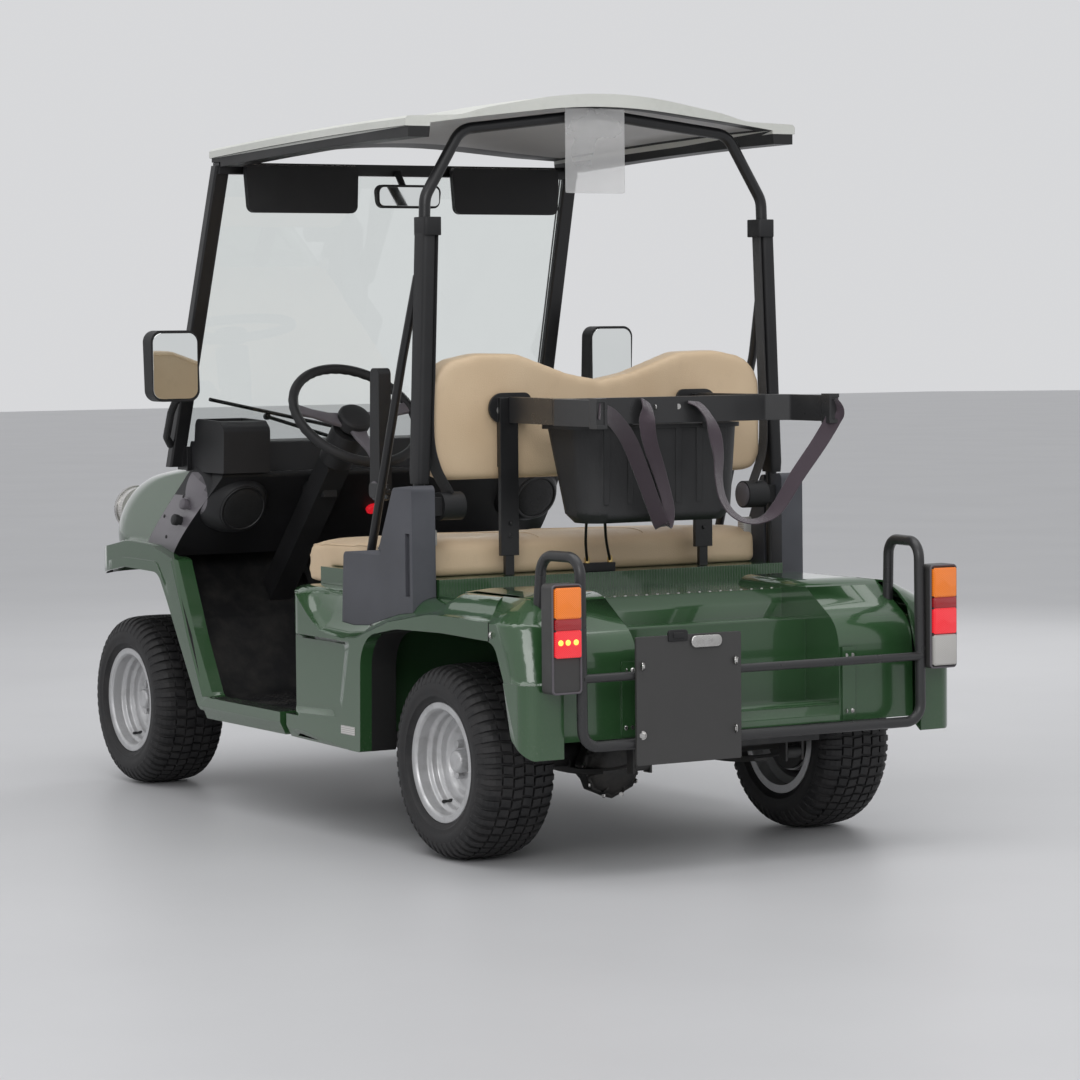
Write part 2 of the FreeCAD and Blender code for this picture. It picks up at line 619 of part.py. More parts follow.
def make_wings():
    """Hollow arches over the front tyres with their legs and sills, joined by a skirt round the nose."""
    w = PANEL_WALL
    sill = [(SILL_JOINT_X + FIT_GAP, SILL_LOW_Z), (SILL_JOINT_X + FIT_GAP, SILL_TOP_Z)]
    outline = nose(WING_TOP + WING_ARCH) + sill + nose(WING_LEG_REAR)
    shell = side_plate(outline, -BODY_HALF_WIDTH, BODY_HALF_WIDTH).common(nose_plan(0.0))
    inner_y = FLOOR_HALF_WIDTH + FIT_GAP
    shell = shell.cut(box((SILL_JOINT_X - 5, -inner_y, 90), (WHEELBASE + 90, inner_y, 700)))
    hollow = side_plate(nose([(-331, 626, 8), (-190, 661, 155), (-40, 665, 295), (155, 635, 115), (310, 635),
                              (310, 95), (-480, 95), (-516, 276, 20), (-432, 439, 300)]),
                        -BODY_HALF_WIDTH, BODY_HALF_WIDTH)
    shell = shell.cut(hollow.common(nose_plan(w)))
    lip_low = [(330, 700), (330, 560 + WING_LIP), (182, 568 + WING_LIP, 30), (-30, 600 + WING_LIP, 200),
               (-232, 598 + WING_LIP, 40), (-292, 560), (-345, 660), (-190, 700)]
    for s in (-1, 1):
        y_low, y_high = sorted((s * (BODY_HALF_WIDTH - 3), s * (BODY_HALF_WIDTH + 5)))
        shell = shell.cut(side_plate(nose(lip_low), y_low, y_high))
    bevel_wires = []
    for rear, z in ((-540, SILL_TOP_Z - 20), (-441, 437), (-338, 650)):
        corners = [(rear - 8, BODY_HALF_WIDTH - 24), (rear - 8, BODY_HALF_WIDTH + 5), (rear + 24, BODY_HALF_WIDTH + 5)]
        points = [V(WHEELBASE + x, y, z) for x, y in corners]
        bevel_wires.append(Part.makePolygon(points + points[:1]))
    bevel = Part.makeLoft(bevel_wires, True, True).cut(box((0, 0, 0), (3000, 900, SILL_TOP_Z + 0.5)))
    sill_room = box((SILL_JOINT_X + 12, SILL_INNER_Y + 4, SILL_LOW_Z - 10),
                    (WHEELBASE - 545, BODY_HALF_WIDTH - SILL_BEVEL[0] - 4, SILL_TOP_Z - w))
    for cutter in (bevel, sill_room, sill_undercut(SILL_JOINT_X - 5, WHEELBASE - 480, 1.0)):
        shell = shell.cut(cutter).cut(mirrored(cutter))
    return shell


def make_front_body():
    """Hood, wings and the upright panel below the hood."""
    form = front_form(WHEELBASE - 580, 0.0)
    inner = front_form(WHEELBASE - 590, PANEL_WALL)
    ahead = side_plate([(split_x(600) + FIT_GAP, 600), (split_x(900) + FIT_GAP, 900), (FRONT_TIP_X + 85, 900),
                        (FRONT_TIP_X + 85, 600)], -700, 700)
    hood = form.cut(inner).common(ahead)
    wings = make_wings().cut(form).cut(box((WHEELBASE - 30, -280, 600), (RAIL_FRONT_X - 5, 280, 660)))
    face = RAIL_FRONT_X + 15
    low_nose = plan_plate([(face - 75, -285), (face, -285, 60), (face, 285, 60), (face - 75, 285)], 420, 638)
    low_room = plan_plate([(face - 85, -280), (face - 5, -280, 55), (face - 5, 280, 55), (face - 85, 280)], 410, 645)
    keep("front_body", Part.makeCompound([fuse([hood, wings, low_nose.cut(low_room)])]))


def make_bumper():
    """Moulded bumper over the frame's nose, with a row of cooling slots."""
    face = FRONT_TIP_X
    bar = plan_plate([(face - 85, -288), (face, -288, 40), (face, 288, 40), (face - 85, 288)], 268, 400)
    room = box((face - 115, -270, 260), (RAIL_FRONT_X + FIT_GAP, 270, 372))
    upper = box((RAIL_FRONT_X + 0.5, -240, 380), (RAIL_FRONT_X + 10, 240, 419))
    bar = bar.cut(room)
    for level in (300, 330, 360):
        bar = bar.cut(box((face - 12, -190, level - 6), (face + 5, 190, level + 6)))
    keep("bumper", fuse([bar, upper]))


def make_head_lamps():
    """Round lamps let into the hood's front."""
    y = BODY_HALF_WIDTH - 180
    lamp = rod((WHEELBASE + 238, y, 740), (WHEELBASE + 282, y, 740), 62)
    keep("head_lamps", pair(lamp.cut(front_form(WHEELBASE - 590, 0.0))))


def make_dash():
    """Dash moulding behind the hood: hollow body, cowl, open bins on top and round speaker pods."""
    form = front_form(WHEELBASE - 580, 0.0)
    x, z = DASH_REAR_HIGH
    top = FORM_TOP_Z
    behind = side_plate([DASH_REAR_LOW, (x, z, 12), (x + 8, top), (split_x(top), top), SPLIT_LOW], -700, 700)
    room = side_plate(nose([(-250, 632), (-468, 845), (-320, 845), (-140, 650), (-140, 632)]), -SHOULDER_Y, SHOULDER_Y)
    body = form.common(behind).cut(room)
    cowl = side_plate(nose([(-430, top - 1), (-410, 946, 12), (-330, 950, 10), (-298, 884), (-298, top - 1)]),
                      -COWL_HALF_WIDTH, COWL_HALF_WIDTH)
    bins = []
    for low_y, high_y in ((COWL_HALF_WIDTH - 136, COWL_HALF_WIDTH), (-COWL_HALF_WIDTH, -COWL_HALF_WIDTH + 236)):
        pod = side_plate(nose([(-525, top - 1), (-530, 985, 20), (-505, 1005, 20), (-360, 1010, 20), (-350, 940),
                               (-400, top - 1)]), low_y, high_y)
        bin_room = box((x - 2, low_y + 8, 905), (x + 123, high_y - 8, 1030))
        bins.append(pod.cut(bin_room))
        cowl = cowl.cut(bin_room)
    normal = V(z - DASH_REAR_LOW[1], 0, DASH_REAR_LOW[0] - x).normalize()
    speakers = []
    for s in (-1, 1):
        seat = V(WHEELBASE - 395, s * (BODY_HALF_WIDTH - 145), 762) - normal * 14
        speakers.append(Part.makeCylinder(66, 16, seat, normal))
    keep("dash_body", fuse([body, cowl] + bins + speakers))


# Outer crest of the body side, where its shoulder meets the flat side
CREST = [
    # x, height of the crest, height of the shoulder's inner edge
    (BASE_FRONT_X - 9, 603.0, 606.0),
    (680.0, 588.0, 606.0),
    (617.0, 541.0, 606.0),
    (550.0, 504.0, 606.0),
    (434.0, 493.0, 606.0),
    (360.0, 499.0, 606.0),
    (201.0, 548.0, 606.0),
    (20.0, 577.0, 608.0),
    (-30.0, 581.0, 629.0),
    (-290.0, 580.0, 629.0),
]
PANEL_FRONT_X = BASE_FRONT_X - 6
PANEL_CORNER = 75.0                     # plan radius of the panel's front edge
ARCH_LOW_X = 345.0                      # rear wheel arch: lower front end, crown and rear end
ARCH_CROWN_Z = 538.0
PANEL_REAR_X = -290.0
RECESS_DEPTH = 16.0


def shoulder_form(drop, inset):
    """Space under the left shoulder: S-shaped sections from the inner edge down to the crest, set lower and inward."""
    y_in = SHOULDER_Y - 20
    y_out = BODY_HALF_WIDTH - inset
    wires = []
    for x, crest, edge in CREST:
        low, high = crest - drop, edge - drop
        fall = high - low
        y_edge = SHOULDER_Y + 4 - inset
        y_mid = (y_edge + y_out) / 2 + 4
        span = y_out - y_edge
        wires.append(arc_wire((y_in, 150), [
            (y_in, high), (y_edge, high),
            (y_edge + span * 0.30, low + fall * 0.87, y_mid, low + fall * 0.5),
            (y_mid + span * 0.18, low + fall * 0.17, y_out, low),
            (y_out, 150),
        ], lambda u, v, x=x: V(x, u, v)))
    return Part.makeLoft(wires, True, True)


def make_side_panels():
    """Body side below the seat: sill, hatch recess with its finger slot, wheel arch and flowing shoulder."""
    w = PANEL_WALL
    lean = 3.0
    outline = [(SILL_JOINT_X, SILL_LOW_Z), (SILL_JOINT_X, SILL_TOP_Z), (PANEL_FRONT_X, SILL_TOP_Z + 1),
               (PANEL_FRONT_X, 606), (PANEL_FRONT_X, 660), (PANEL_REAR_X, 660), (PANEL_REAR_X, ARCH_CROWN_Z - 1),
               (-60, ARCH_CROWN_Z + lean, 400), (160, ARCH_CROWN_Z - lean, 300), (ARCH_LOW_X - 6, ARCH_CROWN_Z - 34, 90),
               (ARCH_LOW_X, SILL_LOW_Z - 3, 6)]
    solid = side_plate(outline, SHOULDER_Y + FIT_GAP, BODY_HALF_WIDTH).common(shoulder_form(0.0, 0.0))
    joint_x = QUARTER_JOINT_TOP[0], QUARTER_JOINT_LOW[0]
    reach = (joint_x[1] - joint_x[0]) * 0.1
    plan = plan_plate([(PANEL_FRONT_X + 300, SHOULDER_Y - 10), (PANEL_FRONT_X + 300, BODY_HALF_WIDTH + 10),
                       (joint_x[1] + reach, BODY_HALF_WIDTH + 10), (joint_x[0] - reach, SHOULDER_Y - 10)], 100, 700)
    corner = plan_plate([(PANEL_REAR_X, SHOULDER_Y - 10), (PANEL_FRONT_X, SHOULDER_Y - 10),
                         (PANEL_FRONT_X, BODY_HALF_WIDTH, PANEL_CORNER), (PANEL_REAR_X, BODY_HALF_WIDTH)],
                        SILL_TOP_Z, 700)
    sill_part = box((PANEL_REAR_X, SHOULDER_Y - 10, 100), (SILL_JOINT_X + 1, BODY_HALF_WIDTH, SILL_TOP_Z + 0.01))
    solid = solid.common(plan).common(corner.fuse(sill_part))
    room = side_plate([(PANEL_FRONT_X - w, SILL_LOW_Z + w), (PANEL_FRONT_X - w, 660), (PANEL_REAR_X - 5, 660),
                       (PANEL_REAR_X - 5, ARCH_CROWN_Z + w), (-60, ARCH_CROWN_Z + lean + w + 1, 400),
                       (162, ARCH_CROWN_Z - lean + w + 1, 300), (ARCH_LOW_X, ARCH_CROWN_Z - 28, 90),
                       (ARCH_LOW_X + w + 1, SILL_LOW_Z + w)], SHOULDER_Y - 15, BODY_HALF_WIDTH - w)
    room = room.common(shoulder_form(w, w))
    room = room.common(plan_plate([(PANEL_REAR_X - 6, SHOULDER_Y - 16), (PANEL_FRONT_X - w, SHOULDER_Y - 16),
                                   (PANEL_FRONT_X - w, BODY_HALF_WIDTH - w, PANEL_CORNER - w),
                                   (PANEL_REAR_X - 6, BODY_HALF_WIDTH - w)], 100, 700))
    tray = side_plate([(PANEL_FRONT_X + 5, 488), (398, 488, 12), (446, 295, 25), (PANEL_FRONT_X + 5, 288)],
                      BODY_HALF_WIDTH - RECESS_DEPTH - w - 2, BODY_HALF_WIDTH + 5)
    slot_back = side_plate([(690, 492), (400, 492), (404, 474, 5), (690, 474)],
                           BODY_HALF_WIDTH - RECESS_DEPTH - 22, BODY_HALF_WIDTH)
    shell = solid.cut(room.cut(tray).cut(slot_back))
    recess_wires = []
    for y, points in (
            (BODY_HALF_WIDTH + 0.5, [(PANEL_FRONT_X + 20, 490), (388, 489, 12), (440, 299, 26), (PANEL_FRONT_X + 20, 287)]),
            (BODY_HALF_WIDTH - RECESS_DEPTH, [(PANEL_FRONT_X + 20, 484), (446, 476, 12), (484, 313, 26),
                                              (PANEL_FRONT_X + 20, 303)])):
        recess_wires.append(rounded_wire(points, lambda u, v, y=y: V(u, y, v)))
    shell = shell.cut(Part.makeLoft(recess_wires, True, True))
    slot = side_plate([(672, 487), (470, 487, 3), (424, 482, 2), (436, 478, 2), (672, 478)],
                      BODY_HALF_WIDTH - RECESS_DEPTH - 17, BODY_HALF_WIDTH)
    shell = shell.cut(slot)
    shell = shell.cut(box((PANEL_FRONT_X - w, SHOULDER_Y - 20, 150), (SILL_JOINT_X + 50, SILL_INNER_Y, 700)))
    shell = shell.cut(sill_undercut(ARCH_LOW_X + 60, SILL_JOINT_X + 5, 0.15))
    keep("side_panels", pair(shell))


def make_seat_base():
    """Box under the seat with a raised lid, closed to the footwell and open below."""
    half, wall = BASE_HALF_WIDTH, PANEL_WALL + 1
    front, top = BASE_FRONT_X - 8, BASE_TOP_Z
    bottom = FLOOR_TOP_Z - FLOOR_THICK
    lid = box((BASE_REAR_X, -half, DECK_TOP_Z - PANEL_WALL), (front, half, top))
    lid = lid.cut(box((BASE_REAR_X + wall, -half + wall, 600), (front - wall, half - wall, top - wall)))
    sheets = [box((front - wall, -half, bottom), (front, half, top - 1)),
              box((430, -half, bottom), (430 + wall, half, top - 1))]
    sheets += [side_box((430, front), (half - wall, half), (bottom, top - 1), s) for s in (-1, 1)]
    keep("seat_base", fuse([lid] + sheets))


def make_rear_body():
    """Deck, stepped bag well and the raised wheel housings beside it."""
    wall = PANEL_WALL
    w = WELL_HALF_WIDTH
    deck = box((DECK_REAR_X, -SHOULDER_Y, DECK_TOP_Z - wall), (BASE_REAR_X - FIT_GAP, SHOULDER_Y, DECK_TOP_Z))
    steps = side_plate([(DECK_REAR_X, DECK_TOP_Z), (DECK_REAR_X, SHELF_Z), (SHELF_X, SHELF_Z),
                        (SHELF_X, WELL_FLOOR_Z), (TAIL_X, WELL_FLOOR_Z), (TAIL_X, TAIL_LOW_Z), (TAIL_X + wall, TAIL_LOW_Z),
                        (TAIL_X + wall, WELL_FLOOR_Z - wall), (SHELF_X + wall, WELL_FLOOR_Z - wall),
                        (SHELF_X + wall, SHELF_Z - wall), (DECK_REAR_X + wall, SHELF_Z - wall),
                        (DECK_REAR_X + wall, DECK_TOP_Z)], -w, w)
    top = HOUSING_TOP_Z
    housing = side_plate([(20, DECK_TOP_Z - wall), (-8, top, 25), (-250, top, 110), (TAIL_X + 4, 535, 90),
                          (TAIL_X, TAIL_LOW_Z), (TAIL_X + 12, TAIL_LOW_Z), (DECK_REAR_X + 60, 430),
                          (DECK_REAR_X + 60, DECK_TOP_Z - wall)], w, SHOULDER_Y)
    inner = side_plate([(DECK_REAR_X + 70, 420), (DECK_REAR_X + 70, DECK_TOP_Z - wall - 1), (0, DECK_TOP_Z - wall - 1),
                        (-12, top - wall, 20), (-248, top - wall, 106), (TAIL_X + 4 + wall, 533, 86),
                        (TAIL_X + wall, 300), (-200, 300)], w + wall, SHOULDER_Y + 10)
    crown = cross_plate([(w, 300), (w, top, 16), (w + 120, top + 3, 400), (SHOULDER_Y, 629), (SHOULDER_Y, 300)],
                        TAIL_X - 5, 40)
    side_wall = side_plate([(DECK_REAR_X, DECK_TOP_Z), (-250, DECK_TOP_Z, 60), (TAIL_X + 5, 520, 60),
                            (TAIL_X, TAIL_LOW_Z), (SHELF_X + wall, TAIL_LOW_Z), (SHELF_X + wall, 440), (DECK_REAR_X, 500)],
                           w, w + wall)
    housing = fuse([housing.common(crown).cut(inner), side_wall])
    flange = side_box((TAIL_X - 4, TAIL_X + 1), (w + 6, w + 44), (TAIL_LOW_Z + 4, 486), 1)
    keep("rear_body", fuse([deck, steps, housing, mirrored(housing), flange, mirrored(flange)]))


QUARTER_SECTIONS = [
    # z, rear face x, half width less than the body's, corner radius
    (446.0, -428.0, 2.0, 55.0),
    (520.0, -410.0, 1.0, 66.0),
    (577.0, -390.0, 1.0, 80.0),
    (606.0, -352.0, 46.0, 60.0),
    (629.5, -300.0, 92.0, 8.0),
]


def quarter_form(inset):
    """Upper rear corner of the body as a loft of plan sections."""
    wires = []
    for z, rear, narrower, radius in QUARTER_SECTIONS:
        half = BODY_HALF_WIDTH - narrower - inset
        x = rear + inset
        level = z - inset if z > 446.0 else z - 1 if inset else z
        wires.append(rounded_wire([(-100, SHOULDER_Y - 20), (x, SHOULDER_Y - 20), (x, half, max(radius - inset, 4)),
                                   (-100, half)], lambda u, v, level=level: V(u, v, level)))
    return Part.makeLoft(wires, True, True)


def make_rear_quarters():
    """Corner moulding behind the wheel: swept crest above a ledge, and a fuller lower part."""
    w = PANEL_WALL
    face = -441.0
    lower = plan_plate([(-100, SHOULDER_Y - 20), (face, SHOULDER_Y - 20), (face, BODY_HALF_WIDTH, 42),
                        (-100, BODY_HALF_WIDTH)], 200, 447)
    lower_room = plan_plate([(-90, SHOULDER_Y - 25), (face + w, SHOULDER_Y - 25), (face + w, BODY_HALF_WIDTH - w, 37),
                             (-90, BODY_HALF_WIDTH - w)], 190, 442)
    outline = [(-150, 640), (-460, 640), (-460, 288), (-438, 276, 6), (-374, 322, 30), (-340, 450, 120),
               (-300, ARCH_CROWN_Z - 3, 45), (-150, ARCH_CROWN_Z - 1)]
    room_outline = [(-140, 650), (-470, 650), (-470, 270), (-436, 284, 3), (-380, 326, 28), (-346, 452, 118),
                    (-303, ARCH_CROWN_Z + 3, 43), (-140, ARCH_CROWN_Z + w)]
    solid = fuse([lower, quarter_form(0.0)]).common(side_plate(outline, SHOULDER_Y + FIT_GAP, BODY_HALF_WIDTH + 5))
    room = fuse([lower_room, quarter_form(w)]).common(side_plate(room_outline, SHOULDER_Y - 30, BODY_HALF_WIDTH + 5))
    joint_x = QUARTER_JOINT_TOP[0] - FIT_GAP, QUARTER_JOINT_LOW[0] - FIT_GAP
    reach = (joint_x[1] - joint_x[0]) * 0.1
    plan = plan_plate([(-700, SHOULDER_Y - 10), (-700, BODY_HALF_WIDTH + 10), (joint_x[1] + reach, BODY_HALF_WIDTH + 10),
                       (joint_x[0] - reach, SHOULDER_Y - 10)], 100, 700)
    keep("rear_quarters", pair(solid.cut(room).common(plan)))


# Seat
def make_seat():
    """Bench cushion that overhangs the seat base, and the two-hump backrest."""
    lip_z = 604
    half = CUSHION_HALF_WIDTH
    cushion = side_plate([(205, BASE_TOP_Z + FIT_GAP, 15), (215, 738, 30), (560, 722, 200), (850, 706, 40),
                          (862, BASE_TOP_Z + FIT_GAP, 20)], -half, half)
    lip = side_plate([(BASE_FRONT_X - 7, lip_z, 15), (BASE_FRONT_X - 7, BASE_TOP_Z + 1), (862, BASE_TOP_Z + 1, 5),
                      (850, lip_z, 20)], -half, half)
    keep("seat_cushion", fuse([cushion, lip]))
    edge = BACK_HALF_WIDTH
    outline = [(0, 1118, 60), (90, 1134, 120), (235, 1184, 60), (edge - 134, 1186, 60), (edge, 1160, 90),
               (edge, BACK_BOTTOM_Z, 50)]
    outline += [(-y, z, r) for y, z, r in reversed(outline[1:])]
    keep("seat_back", cross_plate(outline, BACK_REAR_X, BACK_FRONT_X))


def make_side_covers():
    """Stepped grey covers over the feet of the hoop, with a finger slot behind."""
    outline = [(498, 480), (485, 702, 14), (306, 714, 30), (231, 867, 16), (139, 875, 14), (136, 480)]
    cover = side_plate(outline, COVER_INNER_Y, COVER_OUTER_Y)
    edge = 7.0
    for wire_x, wire_z in ((485, 702), (231, 867)):
        cover = cover.cut(Part.makeLoft([
            Part.makePolygon([V(x, y, z) for y, z in ((COVER_OUTER_Y - edge, wire_z + 14), (COVER_OUTER_Y + 1, wire_z + 14),
                                                      (COVER_OUTER_Y + 1, wire_z + 12 - edge * 2),
                                                      (COVER_OUTER_Y - edge, wire_z + 14))])
            for x in (wire_x - 190 if wire_x > 300 else wire_x - 100, wire_x + 20)], True, True))
    slot = box((150, COVER_OUTER_Y - 10, 610), (172, COVER_OUTER_Y + 15, 760))
    post_room = box((HOOP_X - HOOP_TUBE_RADIUS - 4, COVER_INNER_Y - 20, 460),
                    (HOOP_X + HOOP_TUBE_RADIUS + 2, HOOP_FOOT_Y + HOOP_TUBE_RADIUS + 1, 900))
    brace_room = rod((489, BRACE_Y, 575), (423, BRACE_Y, 760), BRACE_RADIUS + 1)
    cover = cover.cut(slot).cut(post_room).cut(brace_room)
    keep("side_covers", pair(cover.cut(shoulder_form(-FIT_GAP, 0.0))))


# Cage, glass and roof
def make_rear_hoop():
    """Roof hoop behind the seat with its curved braces, and the brackets and pins of the armrests."""
    foot_z = 606.3
    half = [(HOOP_X - 2, HOOP_FOOT_Y, foot_z), (HOOP_X - 2, HOOP_FOOT_Y - 2, 870), (HOOP_X, HOOP_FOOT_Y - 28, 1560),
            (HOOP_X + 2, HOOP_FOOT_Y - 129, 1722)]
    path = half + [(HOOP_X + 2, 0, 1767)] + [(x, -y, z) for x, y, z in reversed(half)]
    parts = [bent_tube(path, HOOP_TUBE_RADIUS, 60)]
    for s in (-1, 1):
        parts.append(bent_tube([(BRACE_LOW[0], s * BRACE_Y, BRACE_LOW[1]), (BRACE_MID[0], s * BRACE_Y, BRACE_MID[1]),
                                (HOOP_X + 17, s * (BRACE_Y - 12), 1371)], BRACE_RADIUS, 300))
    x, z = ARMREST_PIVOT
    share = (z - BRACE_LOW[1]) / (BRACE_MID[1] - BRACE_LOW[1])
    brace_x = BRACE_LOW[0] + share * (BRACE_MID[0] - BRACE_LOW[0])
    for s in (-1, 1):
        pin = rod((x, s * (ARMREST_INNER_Y - 3), z), (x, s * (ARMREST_OUTER_Y + 5), z), 9)
        y0, y1 = sorted((s * (ARMREST_OUTER_Y + 1), s * (ARMREST_OUTER_Y + 7)))
        plate = side_plate([(x + 18, z - 18, 12), (x + 18, z + 18, 12), (brace_x, z + 18), (brace_x, z - 18)], y0, y1)
        stub = rod((brace_x, s * (ARMREST_OUTER_Y + 2), z), (brace_x, s * BRACE_Y, z), 8)
        parts += [pin, plate, stub]
    below = box((BRACE_MID[0] - 100, -BODY_HALF_WIDTH, 560), (BRACE_LOW[0] + 60, BODY_HALF_WIDTH, foot_z))
    keep("rear_hoop", fuse(parts).cut(below))


def pillar_x(z):
    """Middle of the front pillar at a height."""
    return PILLAR_TOP_X + (z - PILLAR_TOP_Z) * PILLAR_SLOPE


def pillar_y(z):
    """Distance of the front pillar from the middle plane at a height."""
    return PILLAR_TOP_Y + (PILLAR_TOP_Z - z) * PILLAR_FLARE


def make_front_frame():
    """Raked pillars with their feet on the cowl, joined by the header."""
    parts = []
    base, top = PILLAR_BASE_Z, PILLAR_TOP_Z
    for s in (-1, 1):
        wires = []
        for z in (base, top):
            x, y = pillar_x(z), s * pillar_y(z)
            dx, dy = PILLAR_DEPTH / 2, PILLAR_WIDTH / 2
            wires.append(rounded_wire([(x - dx, y - dy, 6), (x + dx, y - dy, 6), (x + dx, y + dy, 6),
                                       (x - dx, y + dy, 6)], lambda u, v, z=z: V(u, v, z)))
        parts.append(Part.makeLoft(wires, True, True))
        parts.append(side_box((pillar_x(base) - 50, pillar_x(base) + 10), (COWL_HALF_WIDTH + FIT_GAP, PILLAR_TOP_Y + 16),
                              (base - 8, base + 55), s))
    parts.append(box((PILLAR_TOP_X - 22, -PILLAR_TOP_Y - 15, top - 22), (PILLAR_TOP_X + 14, PILLAR_TOP_Y + 15, top + 8)))
    keep("front_frame", fuse(parts))


def make_windshield():
    """Flat pane between the pillars."""
    low, high = PILLAR_BASE_Z + 24, PILLAR_TOP_Z - 24
    inside = PILLAR_WIDTH / 2 + 1
    half = GLASS_THICK / 2
    pane = side_plate([(pillar_x(low) - half, low), (pillar_x(high) - half, high), (pillar_x(high) + half, high),
                       (pillar_x(low) + half, low)], -BODY_HALF_WIDTH, BODY_HALF_WIDTH)
    window = cross_plate([(-pillar_y(low) + inside, low), (pillar_y(low) - inside, low),
                          (pillar_y(high) - inside, high), (-pillar_y(high) + inside, high)],
                         PILLAR_TOP_X - 200, PILLAR_TOP_X + 400)
    keep("windshield", pane.common(window).cut(NODES["front_frame"]))


def make_wiper():
    """Arm and blade lying low on the outside of the glass."""
    def on_glass(y, z, off):
        return (pillar_x(z) + GLASS_THICK / 2 + off, y, z)
    joint_y, tip_y = PILLAR_TOP_Y - 233, PILLAR_TOP_Y - 53
    arm = rod(on_glass(40, 934, 9), on_glass(joint_y, 1010, 9), 5)
    blade = rod(on_glass(60, 972, 6), on_glass(tip_y, 1060, 6), 5)
    joint = rod(on_glass(joint_y, 1010, 4), on_glass(joint_y, 1010, 14), 9)
    post = rod(on_glass(40, 934, 16), (pillar_x(934) + 6, 40, 905), 8)
    keep("wiper", fuse([arm, blade, joint, post]).cut(NODES["windshield"]))


ROOF_SPANS = 6                  # straight spans that carry the roof's bend along its length
ROOF_RIM_DROP = 34.0            # fall of the rim and of the crown towards the windscreen
ROOF_CROWN_DROP = 54.0
ROOF_SKIN_EDGE = 24.0           # height of the white skin's edge over the dark rim
ROOF_RIM_Z = 1750.0
ROOF_RIM_LOW_Z = 1700.0
ROOF_CROWN_Z = 1811.0
ROOF_SKIN_THICK = 22.0


def roof_wire(share):
    """Section of the roof at a share of its length: flat border, soft step to the crown, dark rim set in below."""
    x = ROOF_REAR_X + (ROOF_FRONT_X - ROOF_REAR_X) * share
    edge = ROOF_HALF_WIDTH
    rim_drop = ROOF_RIM_DROP * share ** 1.6
    rim = ROOF_RIM_Z - rim_drop
    rim_low = ROOF_RIM_LOW_Z - rim_drop
    crown = ROOF_CROWN_Z - ROOF_CROWN_DROP * share ** 2.6
    step = (rim + crown) / 2 - 8
    skin_low = rim - ROOF_SKIN_EDGE
    border, shelf = (edge - 150, rim + 4), (edge - 215, step)
    top_crown, low_crown = (0, crown + 20), (0, crown - 20)
    lining, rim_foot = (edge - 195, step - ROOF_SKIN_THICK), (edge - 68, rim - 16)
    top = [(edge, skin_low, 0), (edge, rim - 7, 0), (edge - 6, rim - 1, 0), (edge - 18, rim, 0),
           (*border, bend_radius((edge - 18, rim), border, shelf, 0.4)),
           (*shelf, bend_radius(border, shelf, top_crown, 0.4))]
    low = [(edge - 7, skin_low, 0), (edge - 7, rim_low, 0), (edge - 64, rim_low, 0), (*rim_foot, 0),
           (*lining, bend_radius(rim_foot, lining, low_crown, 0.2))]
    top_radius = bend_radius(shelf, top_crown, (-shelf[0], shelf[1]), 0.6)
    low_radius = bend_radius(lining, low_crown, (-lining[0], lining[1]), 0.47)
    ring = [(-y, z, r) for y, z, r in top] + [(*top_crown, top_radius)] + list(reversed(top)) + low
    ring += [(*low_crown, low_radius)] + [(-y, z, r) for y, z, r in reversed(low)]
    return rounded_wire(ring, lambda u, v: V(x, u, v))


def make_roof():
    """Moulded canopy lofted over equal spans, hollow below its crown and notched over the header."""
    roof = Part.makeLoft([roof_wire(i / ROOF_SPANS) for i in range(ROOF_SPANS + 1)], True, True)
    header_room = box((PILLAR_TOP_X - 40, -ROOF_HALF_WIDTH - 5, 1600),
                      (PILLAR_TOP_X + 30, ROOF_HALF_WIDTH + 5, PILLAR_TOP_Z + 8 + FIT_GAP))
    keep("roof", roof.cut(header_room))


def make_visors():
    """Two sun visors on pins under the header."""
    blades = []
    x = PILLAR_TOP_X - 64
    for low_y, high_y in ((159, PILLAR_TOP_Y - 41), (-PILLAR_TOP_Y + 71, -127)):
        blade = cross_plate([(low_y + 4, 1550, 20), (high_y - 10, 1550, 20), (high_y, 1674, 12), (low_y, 1674, 12)],
                            x, x + 18)
        middle = (low_y + high_y) / 2
        pins = [rod((x + 10, middle + off, 1664), (PILLAR_TOP_X - 22 - FIT_GAP, middle + off, 1664), 5)
                for off in (-110, 110)]
        blades.append(fuse([blade] + pins))
    keep("sun_visors", Part.makeCompound(blades))


def make_mirrors():
    """Inner mirror below the header and two outer mirrors on bent arms from the pillars."""
    x = PILLAR_TOP_X - 92
    inner = fuse([cross_plate([(-70, 1564, 20), (114, 1564, 20), (121, 1626, 20), (-77, 1626, 20)], x, x + 18),
                  rod((x + 16, 22, 1600), (x + 64, 22, 1660), 9)])
    pieces = [inner]
    x = WHEELBASE - 524
    for s in (-1, 1):
        y = [s * (BODY_HALF_WIDTH + off) for off in (0, 5, 135, 140, 40, 12, -15)]
        head = cross_plate([(y[0], 1060, 30), (y[2], 1060, 30), (y[3], 1245, 30), (y[1], 1245, 30)], x, x + 50)
        arm = bent_tube([(x + 50, y[4], 1075), (x + 94, y[4], 1030), (x + 184, y[5], 962), (x + 218, y[6], 940)], 10, 30)
        pieces.append(fuse([head, rod((x + 29, y[4], 1085), (x + 62, y[4], 1062), 12), arm]))
    frame = NODES["front_frame"]
    keep("mirrors", Part.makeCompound([piece.cut(frame) for piece in pieces]))


def make_sleeve():
    """Document sleeve hung from the roof behind the seat."""
    top = ROOF_CROWN_Z - 33.6
    keep("document_sleeve", cross_plate([(-60, 1572, 6), (-60, top), (110, top), (110, 1572, 6)], 170, 172))


